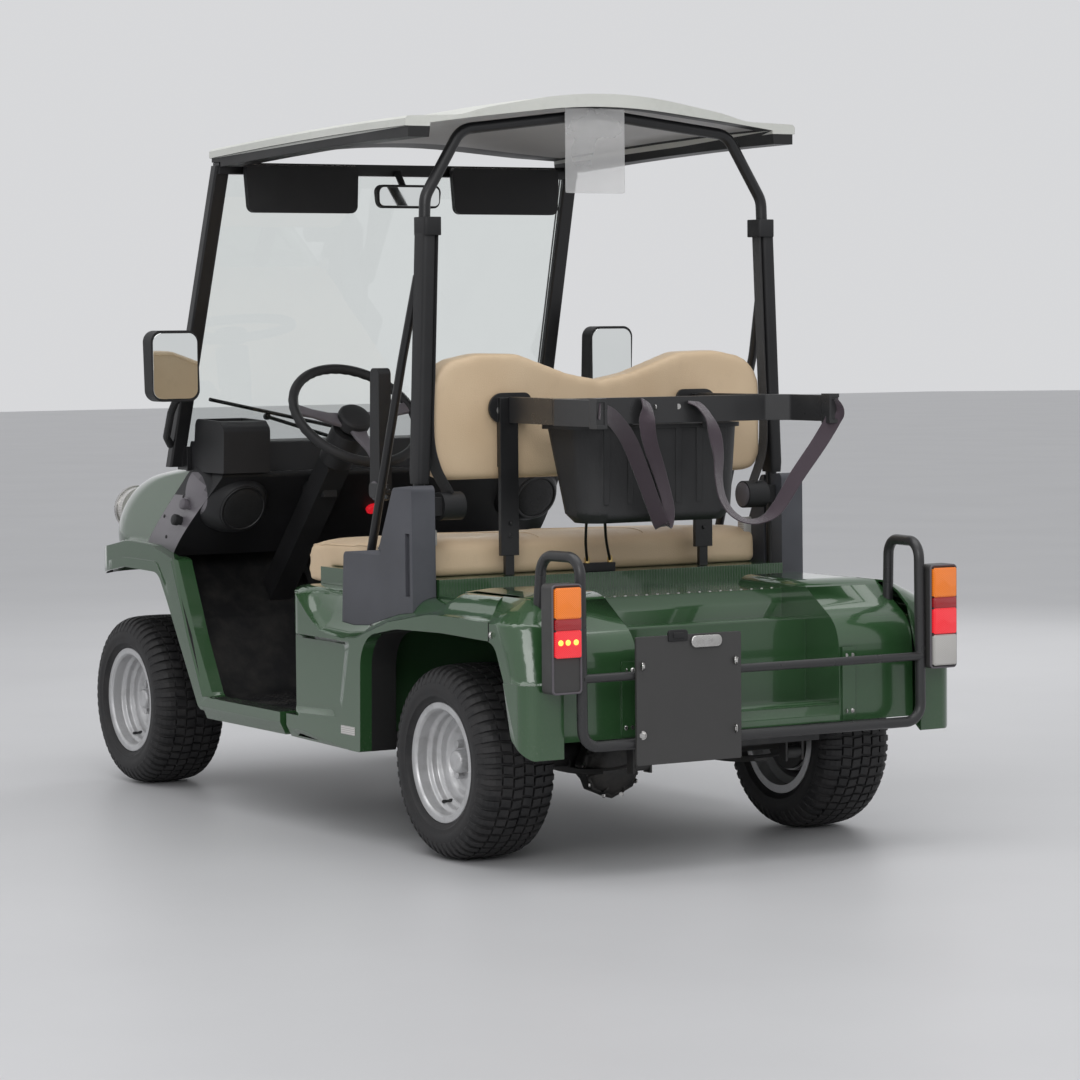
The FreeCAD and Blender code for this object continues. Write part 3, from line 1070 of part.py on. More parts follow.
# Driver's place
def make_steering_wheel():
    """Three-spoke wheel square to its raked column."""
    centre = V(*STEERING_CENTRE)
    tilt = math.radians(STEERING_TILT)
    axis = V(math.cos(tilt), 0, -math.sin(tilt))
    up = V(-math.sin(tilt), 0, -math.cos(tilt)) * -1
    parts = [Part.makeTorus(STEERING_RADIUS, STEERING_RIM_RADIUS, centre, axis),
             Part.makeCylinder(44, 46, centre - axis * 6, axis)]
    for angle in (0, 180, 270):
        turn = math.radians(angle)
        direction = V(0, 1, 0) * math.cos(turn) + up * math.sin(turn)
        end = centre + direction * (STEERING_RADIUS - 2)
        begin = centre + axis * 14
        parts.append(Part.makeCylinder(11, (end - begin).Length, begin, end - begin))
    keep("steering_wheel", fuse(parts))


def make_driver_controls():
    """Steering column with its shroud and the square trunk down to the toe board, and two hanging pedals."""
    centre = V(*STEERING_CENTRE)
    tilt = math.radians(STEERING_TILT)
    axis = V(math.cos(tilt), 0, -math.sin(tilt))
    begin = centre + axis * (40 + FIT_GAP)
    column = Part.makeCylinder(COLUMN_RADIUS, 200, begin, axis)
    shroud = Part.makeCylinder(46, 110, begin + axis * 12, axis)
    slope = math.tan(tilt)
    cx, cy, cz = STEERING_CENTRE
    rise = TRUNK_HALF / math.cos(tilt)
    x0, x1 = cx + 100, TOE_TOP[0] + 40
    trunk = side_plate([(x0, cz - (x0 - cx) * slope - rise), (x0, cz - (x0 - cx) * slope + rise),
                        (x1, cz - (x1 - cx) * slope + rise), (x1, cz - (x1 - cx) * slope - rise)],
                       cy - TRUNK_HALF, cy + TRUNK_HALF)
    gap = FIT_GAP
    below = side_plate([(TOE_X - 40, FLOOR_TOP_Z + gap), (TOE_X - gap, FLOOR_TOP_Z + gap),
                        (TOE_MID[0] - gap, TOE_MID[1] + gap), (TOE_TOP[0] - gap, TOE_TOP[1] + gap),
                        (TOE_TOP[0] + 300, TOE_TOP[1] + 300), (TOE_TOP[0] + 300, 0), (TOE_X - 40, 0)],
                       0, BODY_HALF_WIDTH)
    trunk = trunk.cut(below)
    bracket = box((cx + 150, cy - 20, 800), (DASH_REAR_HIGH[0] + 40, cy + 20, 838)).cut(NODES["dash_body"])
    bracket = max(bracket.Solids, key=lambda solid: -solid.CenterOfMass.x)
    pedals = []
    for low_y, high_y in ((120, 190), (20, 78)):
        middle = (low_y + high_y) / 2
        pad = side_plate(nose([(-430, 395), (-378, 482, 4), (-368, 476, 4), (-418, 389)]), low_y, high_y)
        arm = side_plate(nose([(-400, 430), (-385, 425), (-170, 640), (-190, 646)]), middle - 8, middle + 8)
        pedals.append(fuse([pad, arm.cut(below)]))
    keep("driver_controls", Part.makeCompound([fuse([column, shroud, trunk, bracket])] + pedals))


def make_armrests():
    """Folding armrests, upright at rest."""
    x, z = ARMREST_PIVOT
    for name, s in (("left", 1), ("right", -1)):
        y0, y1 = sorted((s * ARMREST_INNER_Y, s * ARMREST_OUTER_Y))
        pad = side_plate([(x - 26, z - 26, 25.5), (x + 26, z - 26, 25.5), (x + 18, z + ARMREST_LENGTH, 16),
                          (x - 26, z + ARMREST_LENGTH, 16)], y0, y1)
        pin_room = rod((x, y0 - 5, z), (x, y1 + 5, z), 9 + SPINDLE_ROOM)
        keep("armrest_" + name, pad.cut(pin_room))


def make_belts():
    """Belt reels on brackets at the foot of the hoop."""
    x, z = 178.0, 822.0
    parts = []
    for s in (-1, 1):
        reel = rod((x, s * (SHOULDER_Y - 90), z), (x, s * (SHOULDER_Y - 30), z), 34)
        bracket = side_box((x - 18, x + 18), (SHOULDER_Y - 30, SHOULDER_Y - 3), (z - 22, z + 22), s)
        parts.append(fuse([reel, bracket]))
    keep("belts", Part.makeCompound(parts))


# Bag rack
def make_rack():
    """Two uprights with pivot plates, and the one-piece bar with its arms and prongs."""
    uprights = []
    low, high = RACK_PIVOT_Z - 38, RACK_PIVOT_Z + 36
    for s in (-1, 1):
        y = s * RACK_Y
        post = box((RACK_X - 12, y - 12, BASE_TOP_Z + 0.5), (RACK_X - 0.5, y + 12, 720))
        sleeve = box((RACK_X - 14, y - 25, 697), (RACK_X - 2, y + 25, RACK_PIVOT_Z + 24))
        pad = box((RACK_X - 2, y - 18, BACK_BOTTOM_Z + 30), (BACK_REAR_X - FIT_GAP, y + 18, RACK_PIVOT_Z - 20))
        plate = cross_plate([(y - s * 70, low, 20), (y - s * 70, high, 20), (y + s * 48, high, 36.9), (y + s * 48, low, 36.9)],
                            RACK_X - 2.5, RACK_X + 4)
        uprights.append(fuse([post, sleeve, pad, plate]))
    keep("rack_uprights", Part.makeCompound(uprights))
    t = RACK_BAR_THICK
    z0, z1 = RACK_LOW_Z, RACK_LOW_Z + RACK_BAR_HEIGHT
    root = RACK_X - 14 - FIT_GAP
    bar = RACK_BAR_X
    left = [(root, 262, 4), (bar + 40, 292, 10), (bar, PRONG_Y - 60, 20)]
    left_far = [(bar - t, PRONG_Y - 60, 10), (bar - 60, PRONG_Y - 14, 10), (PRONG_END_X, PRONG_Y - 12, 6),
                (PRONG_END_X, PRONG_Y + 8, 6), (bar - 30, PRONG_Y + 10, 10), (bar + 20, 292 + t, 10), (root, 262 + t, 4)]
    right = [(x, -y, r) for x, y, r in reversed(left)]
    right_far = [(x, -y, r) for x, y, r in reversed(left_far)]
    frame = plan_plate(left + right + right_far + left_far, z0, z1)
    caps = [side_box((PRONG_END_X - 4, PRONG_END_X + 30), (PRONG_Y - 16, PRONG_Y + 12), (z0 - 4, z1 + 4), s)
            for s in (-1, 1)]
    caps = [cap.cut(side_box((PRONG_END_X - 5, PRONG_END_X - 1), (PRONG_Y - 9, PRONG_Y + 20), (z0 + 5, z1 - 5), s))
            for cap, s in zip(caps, (-1, 1))]
    keep("rack_bar", fuse([frame] + caps))


BASKET_HALF = 230.0
BASKET_LOW_Z = 780.0
BASKET_RIM_Z = 1014.0


def tub(inset):
    """Tapered basket body with soft corners and a turned-in foot, inset by a wall."""
    sections = [
        # z, rear x, front x, half width, corner radius
        (BASKET_LOW_Z + inset, -72, 34, BASKET_HALF - 34, 44),
        (BASKET_LOW_Z + 22 + inset * 0.4, -92, 54, BASKET_HALF - 14, 58),
        (BASKET_RIM_Z + (1 if inset else 0), -96, 111, BASKET_HALF, 58),
    ]
    wires = []
    for z, rear, front, half, radius in sections:
        half = half - inset
        r = radius - inset
        wires.append(rounded_wire([(rear + inset, -half, r), (front - inset, -half, r), (front - inset, half, r),
                                   (rear + inset, half, r)], lambda u, v, z=z: V(u, v, z)))
    return Part.makeLoft(wires, True, True)


def make_basket():
    """Open tub with a rolled rim and upright ribs, hung on the rack's bar."""
    wall = 4.0
    rim_z = BASKET_RIM_Z
    rim_out = plan_plate([(-100, -240, 62), (121, -240, 62), (121, 240, 62), (-100, 240, 62)], rim_z - 10, rim_z)
    rim_in = plan_plate([(-92, -226, 54), (107, -226, 54), (107, 226, 54), (-92, 226, 54)], rim_z - 14, rim_z + 6)
    body = tub(0.0)
    ribs = []
    for y in (-165, -98, -38, 38, 98, 165):
        rib = Part.makeLoft([Part.makePolygon([V(rear - 3, y - half, z), V(rear - 3, y + half, z), V(rear + 6, y + half, z),
                                               V(rear + 6, y - half, z), V(rear - 3, y - half, z)])
                             for z, rear, half in ((826, -92.2, 7), (rim_z - 9, -95.8, 9))], True, True)
        ribs.append(rib)
    body = fuse([body] + ribs).cut(tub(wall))
    hooks = [box((RACK_BAR_X + FIT_GAP, y - 20, rim_z - 10), (RACK_BAR_X + 4, y + 20, 1060)) for y in (-120, 120)]
    tabs = [box((RACK_BAR_X + FIT_GAP, y - 20, rim_z - 10), (-96, y + 20, rim_z - 5)) for y in (-120, 120)]
    keep("basket", fuse([body, rim_out.cut(rim_in)] + hooks + tabs))


def strap(start, fold, end):
    """Webbing loop hung from two places, lying in the plane of its ends and its fold."""
    a, b, c = V(*start), V(*fold), V(*end)
    across = (c - a).normalize()
    normal = across.cross(b - a).normalize()
    down = normal.cross(across).normalize()
    if down.dot(b - a) < 0:
        down = down * -1
    width, thick, bend = WEBBING_WIDTH, WEBBING_THICK, 14.0
    reach, depth = (b - a).dot(across), (b - a).dot(down)
    span = (c - a).Length
    outer = rounded_wire([(0, 0), (reach - bend, depth, bend), (reach + bend, depth, bend), (span, 0)],
                         lambda u, v: a + across * u + down * v - normal * (width / 2))
    inner = rounded_wire([(thick, 0), (reach - bend + thick * 0.6, depth - thick, bend - thick),
                          (reach + bend - thick * 0.6, depth - thick, bend - thick), (span - thick, 0)],
                         lambda u, v: a + across * u + down * v - normal * (width / 2))
    solid = Part.Face(outer).extrude(normal * width)
    return solid.cut(Part.Face(inner).extrude(normal * width))


def make_straps():
    """Bag straps hung between the bar and the prongs."""
    top = RACK_LOW_Z - FIT_GAP
    left = strap((-322, 318, top - 6), (-196, 84, 780), (-140, 66, top))
    right = strap((-322, -318, top - 6), (-226, -182, 782), (-140, -54, top))
    keep("straps", Part.makeCompound([left, right]))


# Rear guard
def make_rear_rail():
    """Tube guard: hoops over the housings, uprights, low and middle rails, and stays to the frame."""
    parts = []
    for s in (-1, 1):
        path = [(-318, s * (GUARD_Y + 21), HOUSING_TOP_Z - 60), (-330, s * (GUARD_Y + 15), GUARD_TOP_Z),
                (-470, s * GUARD_Y, GUARD_TOP_Z), (GUARD_REAR_X, s * GUARD_Y, GUARD_LOW_Z),
                (GUARD_REAR_X, s * 200, GUARD_LOW_Z)]
        parts.append(bent_tube(path, GUARD_TUBE_RADIUS, 42))
    parts.append(rod((GUARD_REAR_X, -205, GUARD_LOW_Z), (GUARD_REAR_X, 205, GUARD_LOW_Z), GUARD_TUBE_RADIUS))
    mid_x = GUARD_REAR_X - 2
    parts.append(rod((mid_x, -GUARD_Y, GUARD_MID_Z), (mid_x, GUARD_Y, GUARD_MID_Z), 10))
    for s in (-1, 1):
        parts.append(box((GUARD_REAR_X, s * RAIL_Y - 15, GUARD_LOW_Z - 12),
                         (RAIL_REAR_X - FIT_GAP, s * RAIL_Y + 15, GUARD_LOW_Z + 4)))
    rail = fuse(parts).cut(NODES["rear_body"]).cut(NODES["rear_quarters"])
    keep("rear_rail", max(rail.Solids, key=lambda solid: solid.Volume))


LAMP_ROWS = [
    # lens underside, top, lamps that have it
    (600.0, 669.0, (-1, 1)),
    (513.0, 597.0, (-1, 1)),
    (438.0, 510.0, (-1,)),
]


def make_tail():
    """Tail lamp housings with stacked lenses, and the blank panel on the guard."""
    lamps = []
    face = REAR_TIP_X + 8
    for s in (-1, 1):
        y0, y1 = sorted((s * (GUARD_Y + GUARD_TUBE_RADIUS + FIT_GAP), s * LAMP_OUTER_Y))
        parts = [cross_plate([(y0, 430, 10), (y1, 430, 10), (y1, 677, 10), (y0, 677, 10)], face, -452)]
        for low, high, sides in LAMP_ROWS:
            if s in sides:
                parts.append(box((REAR_TIP_X, y0 + 6, low), (face + 1, y1 - 6, high)))
        lamps.append(fuse(parts))
    keep("tail_lamps", Part.makeCompound(lamps))
    (y0, y1), (z0, z1) = PLATE_Y, PLATE_Z
    plate = cross_plate([(y0, z0, 4), (y1, z0, 4), (y1, z1, 4), (y0, z1, 4)], GUARD_REAR_X - 20,
                        GUARD_REAR_X - GUARD_TUBE_RADIUS - 0.2)
    for y in (y0 + 15, y1 - 15):
        for z in (325, 482):
            plate = plate.cut(rod((GUARD_REAR_X - 24, y, z), (GUARD_REAR_X - 4, y, z), 3.5))
    keep("plate_panel", plate)


def main():
    """Makes every node and writes it in the cart's own frame."""
    for make in (make_wheels, make_rear_axle, make_front_axle, make_steering, make_chassis, make_floor,
                 make_front_body, make_bumper, make_head_lamps, make_dash, make_side_panels, make_seat_base,
                 make_rear_body, make_rear_quarters, make_seat, make_side_covers, make_rear_hoop, make_front_frame,
                 make_windshield, make_wiper, make_roof, make_visors, make_mirrors, make_sleeve,
                 make_steering_wheel, make_driver_controls, make_armrests, make_belts, make_rack, make_basket,
                 make_straps, make_rear_rail, make_tail):
        make()
    os.makedirs("parts", exist_ok=True)
    for name, shape in NODES.items():
        moved = shape.copy()
        moved.translate(V(-ORIGIN_X, 0, 0))
        moved.exportStep("parts/" + name + ".step")


main()
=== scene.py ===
"""Finish of the two-seat electric golf cart: paint, vinyl, webbing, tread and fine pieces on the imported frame."""

import bmesh
import bpy
import math
from mathutils import Matrix, Vector
from mathutils.bvhtree import BVHTree


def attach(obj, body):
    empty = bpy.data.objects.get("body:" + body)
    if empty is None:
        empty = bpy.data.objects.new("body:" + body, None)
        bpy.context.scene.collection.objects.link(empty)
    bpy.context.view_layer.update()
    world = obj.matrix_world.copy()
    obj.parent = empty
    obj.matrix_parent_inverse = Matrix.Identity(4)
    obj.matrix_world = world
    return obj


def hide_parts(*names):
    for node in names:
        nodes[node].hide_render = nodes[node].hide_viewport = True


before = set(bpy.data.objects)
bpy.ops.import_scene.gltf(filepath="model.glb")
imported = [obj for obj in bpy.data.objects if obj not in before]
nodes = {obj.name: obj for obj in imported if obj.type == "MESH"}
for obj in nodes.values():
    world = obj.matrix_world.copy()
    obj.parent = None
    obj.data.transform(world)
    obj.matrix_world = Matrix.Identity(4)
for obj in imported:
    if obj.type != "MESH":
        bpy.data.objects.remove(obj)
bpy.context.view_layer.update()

REAR_AXLE_X = -0.756            # metres; the pieces below are drawn in millimetres from the rear axle
SIDES = (-1, 1)                 # right, left
ARMREST_FACES = (452.0, 486.0)  # inner and outer face of an armrest, from the middle
WHEELS = {"rl": (0.0, 480.0), "rr": (0.0, -480.0), "fl": (1730.0, 485.0), "fr": (1730.0, -485.0)}
WHEEL_Z = 230.0
EDGE_RADIUS = 0.0022            # softening of the shaded edges, metres
SHARP_ANGLE = 0.6               # radians between two faces from which their edge is bevelled
WELD = 1e-5                     # metres


def at(x, y, z):
    """Point in the row frame from millimetres measured at the rear axle."""
    return Vector((x / 1000 + REAR_AXLE_X, y / 1000, z / 1000))


def station(place):
    """Millimetres measured at the rear axle from a point in the row frame."""
    return Vector(((place.x - REAR_AXLE_X) * 1000, place.y * 1000, place.z * 1000))


def add_node(tree, kind, settings=None, values=(), output=0):
    """Adds a node: its settings first, then its input sockets by order or by name, and gives one output."""
    node = tree.nodes.new(kind)
    for key, value in (settings or {}).items():
        setattr(node, key, value)
    for key, value in values.items() if isinstance(values, dict) else enumerate(values):
        value = value.socket if isinstance(value, Signal) else value
        if isinstance(value, bpy.types.NodeSocket):
            tree.links.new(value, node.inputs[key])
        else:
            node.inputs[key].default_value = value
    return node.outputs[output]


# Shader arithmetic
class Signal:
    """A shader socket that takes part in Python expressions and adds Math nodes for them."""

    def __init__(self, finish, socket):
        self.finish, self.socket = finish, socket

    def maths(self, operation, *others, clamp=False):
        return self.finish.node("ShaderNodeMath", {"operation": operation, "use_clamp": clamp}, others)

    def __abs__(self):
        return self.maths("ABSOLUTE", self)

    def sine(self):
        return self.maths("SINE", self)

    def clamped(self):
        return self.maths("ADD", self, 0.0, clamp=True)


def operator(operation, swapped=False):
    """Method that stands for a Python operator."""
    def method(self, other):
        return self.maths(operation, *((other, self) if swapped else (self, other)))
    return method


for word, operation in {"add": "ADD", "sub": "SUBTRACT", "mul": "MULTIPLY"}.items():
    setattr(Signal, f"__{word}__", operator(operation))
    setattr(Signal, f"__r{word}__", operator(operation, swapped=True))
Signal.__gt__ = operator("GREATER_THAN")
Signal.__lt__ = operator("LESS_THAN")


class Finish:
    """One procedural material with its Principled shader."""

    def __init__(self, name, slot=None, **constants):
        self.material = bpy.data.materials.new(name)
        self.material.use_nodes = True
        self.slot = slot
        self.tree = self.material.node_tree
        self.tree.nodes.clear()
        self.shader = self.tree.nodes.new("ShaderNodeBsdfPrincipled")
        surface = self.tree.nodes.new("ShaderNodeOutputMaterial").inputs["Surface"]
        self.tree.links.new(self.shader.outputs[0], surface)
        self.coordinates = self.tree.nodes.new("ShaderNodeTexCoord")
        for socket_name, value in constants.items():
            self.set(socket_name.replace("_", " "), value)

    def node(self, kind, settings=None, values=(), output=0):
        """Adds a node and wraps one of its outputs."""
        return Signal(self, add_node(self.tree, kind, settings, values, output))

    def set(self, socket_name, value):
        """Gives one input of the Principled shader a number or a signal."""
        target = self.shader.inputs[socket_name]
        if isinstance(value, Signal):
            self.tree.links.new(value.socket, target)
        else:
            target.default_value = value

    def part(self, vector, letter):
        return self.node("ShaderNodeSeparateXYZ", None, [vector], "XYZ".index(letter))

    def axis(self, letter, name="Object"):
        """One coordinate of the surface point, in metres."""
        return self.part(self.coordinates.outputs[name], letter)

    def facing(self, letter):
        """One part of the face's own direction."""
        return self.part(self.node("ShaderNodeNewGeometry", output="True Normal"), letter)

    def noise(self, scale, detail=3.0, roughness=0.5):
        return self.node("ShaderNodeTexNoise", None, {"Vector": self.coordinates.outputs["Object"], "Scale": scale,
                                                      "Detail": detail, "Roughness": roughness})

    def cells(self, scale, feature="F1"):
        return self.node("ShaderNodeTexVoronoi", {"feature": feature},
                         {"Vector": self.coordinates.outputs["Object"], "Scale": scale})

    def ramp(self, signal, low, high, to_low=0.0, to_high=1.0):
        """Maps a range of a signal to another, held at its ends."""
        return self.node("ShaderNodeMapRange", {"clamp": True}, [signal, low, high, to_low, to_high])

    def mix(self, factor, first, second):
        """Colour between two colours."""
        first, second = ((*colour, 1.0) if isinstance(colour, tuple) else colour for colour in (first, second))
        return self.node("ShaderNodeMix", {"data_type": "RGBA"}, {0: factor, 6: first, 7: second}, 2)

    def bump(self, height, distance, strength=1.0):
        """Raises the surface by height times distance, in metres, over softened edges."""
        edges = self.node("ShaderNodeBevel", {"samples": 4}, {"Radius": EDGE_RADIUS})
        self.set("Normal", self.node("ShaderNodeBump", None, {"Height": height, "Distance": distance,
                                                              "Strength": strength, "Normal": edges}))

    def look(self, colour, roughness, height=None, distance=0.0, strength=1.0):
        """Sets the base colour, the roughness and the raised grain."""
        self.set("Base Color", colour)
        self.set("Roughness", roughness)
        if height is not None:
            self.bump(height, distance, strength)
        return self


# Finishes
def green_paint():
    """Deep green gloss over moulded panels: clear coat, faint waviness, dust low down, and unpainted arch liners."""
    paint = Finish("green_paint", "green_paint", Coat_Roughness=0.04, Specular_IOR_Level=0.5)
    cloud = paint.noise(2.6, 2.0)
    dust = paint.ramp(paint.axis("Z"), 0.42, 0.16) * paint.ramp(paint.noise(150.0, 6.0, 0.7), 0.5, 0.75) * 0.10
    colour = paint.mix(paint.ramp(cloud, 0.2, 0.8), (0.026, 0.076, 0.027), (0.031, 0.087, 0.032))
    x, height, aside = paint.axis("X"), paint.axis("Z"), abs(paint.axis("Y"))
    rear_arch = (x < -0.405) * (x > -1.10) * (height < 0.532)
    front_arch = (x > 0.726) * (x < 1.19) * (height < 0.585)
    liner = (rear_arch + front_arch) * (aside < 0.568) * (aside > 0.2875)
    joint = (abs(x + 1.033) < 0.0017) * (aside > 0.57)
    colour = paint.mix(dust, colour, (0.32, 0.32, 0.27))
    paint.set("Coat Weight", (1.0 - liner).clamped())
    ribbed = (x < -0.6265) * (x > -0.645) * (height > 0.6125) * (height < 0.6495)
    ribs = (paint.axis("Y") * (math.tau / 0.008)).sine() * ribbed * 0.5
    return paint.look(paint.mix((liner + joint).clamped(), colour, (0.010, 0.010, 0.010)),
                      (0.22 + dust * 1.6 + liner * 0.4).clamped(),
                      paint.noise(7.0, 1.5) * 0.6 + paint.noise(420.0, 1.0) * 0.02 + ribs, 0.0014)


def textured_plastic(name, colour, slot, grain=900.0, roughness=0.5):
    """Moulded plastic with a fine pebbled grain and slightly rubbed patches."""
    plastic = Finish(name, slot, Specular_IOR_Level=0.32)
    patch = plastic.noise(7.0, 3.0)
    lighter = tuple(min(1.0, c * 1.35 + 0.004) for c in colour)
    return plastic.look(plastic.mix(plastic.ramp(patch, 0.35, 0.75), colour, lighter),
                        plastic.ramp(patch, 0.3, 0.7, roughness - 0.05, roughness + 0.07),
                        plastic.cells(grain, "SMOOTH_F1"), 0.0006, 0.55)


def powder_coat(name, colour, roughness=0.34):
    """Powder coat on tube and plate, with its slight orange peel."""
    coat = Finish(name, "black_metal", Metallic=0.0)
    wear = coat.ramp(coat.noise(55.0, 6.0, 0.7), 0.66, 0.8)
    return coat.look(coat.mix(wear * 0.35, colour, (0.09, 0.088, 0.085)),
                     coat.ramp(coat.noise(14.0, 2.0), 0.3, 0.7, roughness - 0.05, roughness + 0.08),
                     coat.noise(520.0, 1.0), 0.0005, 0.5)


def mottled(name, slot, noise, window, share, colours, rough, grain, **constants):
    """Colour and roughness that follow one noise of dust, over a fine grain (scale, detail, distance, strength)."""
    finish = Finish(name, slot, **constants)
    dust = finish.ramp(finish.noise(*noise), *window)
    return finish.look(finish.mix(dust * share, *colours), finish.ramp(dust, 0.0, 1.0, *rough),
                       finish.noise(*grain[:2]), *grain[2:])


def plated(name, slot, noise, colours, rough_noise, window, rough):
    """Bare metal whose tone and polish drift slowly."""
    metal = Finish(name, slot, Metallic=1.0)
    return metal.look(metal.mix(metal.noise(noise), *colours), metal.ramp(metal.noise(*rough_noise), *window, *rough))


def beige_vinyl():
    """Seat vinyl: warm beige with a fine leather grain and a few soft creases."""
    vinyl = Finish("beige_vinyl", "beige_leather", Sheen_Weight=0.12, Sheen_Roughness=0.4)
    tone = vinyl.ramp(vinyl.noise(5.0, 3.0), 0.3, 0.7)
    grime = vinyl.ramp(vinyl.noise(22.0, 6.0, 0.62), 0.58, 0.8)
    colour = vinyl.mix(tone, (0.70, 0.52, 0.335), (0.77, 0.595, 0.40))
    grain = vinyl.cells(430.0, "SMOOTH_F1") * 0.8 + vinyl.cells(1100.0) * 0.3
    return vinyl.look(vinyl.mix(grime * 0.22, colour, (0.52, 0.38, 0.25)),
                      vinyl.ramp(vinyl.noise(60.0, 2.0), 0.3, 0.7, 0.40, 0.52),
                      grain + vinyl.noise(11.0, 2.5) * 2.2, 0.0009, 0.5)


def wheel_silver():
    """Sprayed aluminium-coloured lacquer with fine flake and brake dust."""
    silver = Finish("wheel_silver", "rim_silver", Metallic=0.6, Coat_Weight=0.2, Coat_Roughness=0.2)
    dust = silver.ramp(silver.noise(19.0, 5.0, 0.6), 0.5, 0.78)
    flake = silver.ramp(silver.cells(1500.0), 0.1, 0.6)
    colour = silver.mix(flake, (0.50, 0.50, 0.505), (0.60, 0.60, 0.605))
    return silver.look(silver.mix(dust * 0.35, colour, (0.16, 0.15, 0.14)), 0.38 + dust * 0.2,
                       silver.noise(300.0, 2.0), 0.0004, 0.3)


def chassis_steel():
    """Black chassis paint with road dust and small rust blooms."""
    steel = Finish("chassis_paint", "chassis_steel", Metallic=0.0)
    rust = steel.ramp(steel.noise(34.0, 8.0, 0.72), 0.63, 0.74)
    dust = steel.ramp(steel.noise(8.0, 4.0), 0.4, 0.7)
    grey = steel.mix(dust, (0.012, 0.012, 0.013), (0.045, 0.043, 0.040))
    return steel.look(steel.mix(rust * 0.6, grey, (0.12, 0.045, 0.018)), 0.5 + rust * 0.3,
                      steel.noise(130.0, 4.0), 0.0008, 0.5)


def roof_shell():
    """Off-white roof skin, slightly rippled on top, over a black rim and a pale grey lining."""
    shell = Finish("roof_skin", "white_plastic")
    x, aside, height = shell.axis("X"), abs(shell.axis("Y")), shell.axis("Z")
    edge = 1.7255 - shell.ramp(x, -0.598, 0.459, 0.0, 0.034)
    below = ((height < edge) + (shell.facing("Z") < -0.12)).clamped()
    inner = (aside < 0.470) * (x < 0.385) * (x > -0.545)
    tone = shell.ramp(shell.noise(4.0, 3.0), 0.3, 0.7)
    skin = shell.mix(tone, (0.62, 0.63, 0.585), (0.71, 0.715, 0.67))
    grime = shell.ramp(shell.noise(16.0, 6.0, 0.62), 0.52, 0.78) * 0.24
    skin = shell.mix(grime, skin, (0.34, 0.36, 0.30))
    lining = shell.mix(inner, (0.012, 0.012, 0.012), (0.42, 0.42, 0.42))
    return shell.look(shell.mix(below, skin, lining), shell.ramp(tone, 0.0, 1.0, 0.36, 0.5),
                      shell.noise(6.5, 2.0) + shell.noise(55.0, 2.0) * 0.12, 0.004, 0.45)


def windscreen_glass():
    """Thin laminated glass with a faint green edge and a little haze."""
    glass = Finish("windscreen_glass", "clear_glass", Transmission_Weight=1.0, IOR=1.45, Alpha=1.0)
    smear = glass.ramp(glass.noise(6.0, 4.0), 0.45, 0.8)
    return glass.look(glass.mix(smear * 0.3, (0.93, 0.965, 0.945), (0.88, 0.91, 0.90)), smear * 0.03)


def sleeve_film():
    """Milky plastic film of a document sleeve, gently buckled."""
    film = Finish("sleeve_film", "clear_film", Transmission_Weight=0.5, IOR=1.3)
    cloud = film.noise(9.0, 3.0)
    film.set("Alpha", film.ramp(film.axis("Z"), 1.72, 1.65, 0.62, 0.42))
    return film.look(film.mix(cloud, (0.80, 0.80, 0.80), (0.90, 0.89, 0.88)), film.ramp(cloud, 0.3, 0.7, 0.22, 0.4),
                     film.noise(13.0, 2.0), 0.004, 0.6)


def lens(name, colour, glow, strength, slot="lamp_red", prism=210.0):
    """Moulded lamp lens: ribbed prisms under a smooth face, lit from within where it glows."""
    plastic = Finish(name, slot, Coat_Weight=1.0, Coat_Roughness=0.03)
    ribs = (plastic.axis("Y") * prism * math.tau).sine() * (plastic.axis("Z") * prism * math.tau).sine()
    shade = plastic.ramp(ribs, -1.0, 1.0)
    if strength:
        plastic.set("Emission Color", plastic.mix(shade, tuple(c * 0.8 for c in glow), glow))
        plastic.set("Emission Strength", strength)
    return plastic.look(plastic.mix(shade, tuple(c * 0.72 for c in colour), colour),
                        plastic.ramp(shade, 0.0, 1.0, 0.22, 0.34), shade, 0.0006, 0.35)


def webbing(name, dark, light, sheen):
    """Close-woven webbing, woven along the band's own UV, with a sheen where light rakes over it."""
    web = Finish(name, "webbing", Sheen_Weight=sheen, Sheen_Roughness=0.35)
    along, across = web.axis("Y", "UV"), web.axis("X", "UV")
    weave = (along * math.tau * 520.0).sine() * (across * math.tau * 26.0).sine()
    herring = ((along * 260.0 + abs(across - 0.5) * 22.0) * math.tau).sine()
    shade = web.ramp(weave * 0.5 + herring * 0.5, -1.0, 1.0)
    return web.look(web.mix(shade, dark, light), web.ramp(shade, 0.0, 1.0, 0.55, 0.75), shade, 0.0005, 0.8)


def speaker_grille():
    """Black pressed grille with rows of small round holes, each painted darker as painted shade inside it."""
    grille = Finish("speaker_grille", "black_plastic", Metallic=0.2)
    holes = grille.ramp(grille.cells(380.0), 0.30, 0.42)
    # the holes' near-black colour is painted shade inside the holes
    return grille.look(grille.mix(holes, (0.004, 0.004, 0.004), (0.018, 0.018, 0.019)),
                       grille.ramp(holes, 0.0, 1.0, 0.8, 0.4), holes, 0.0012, 0.7)


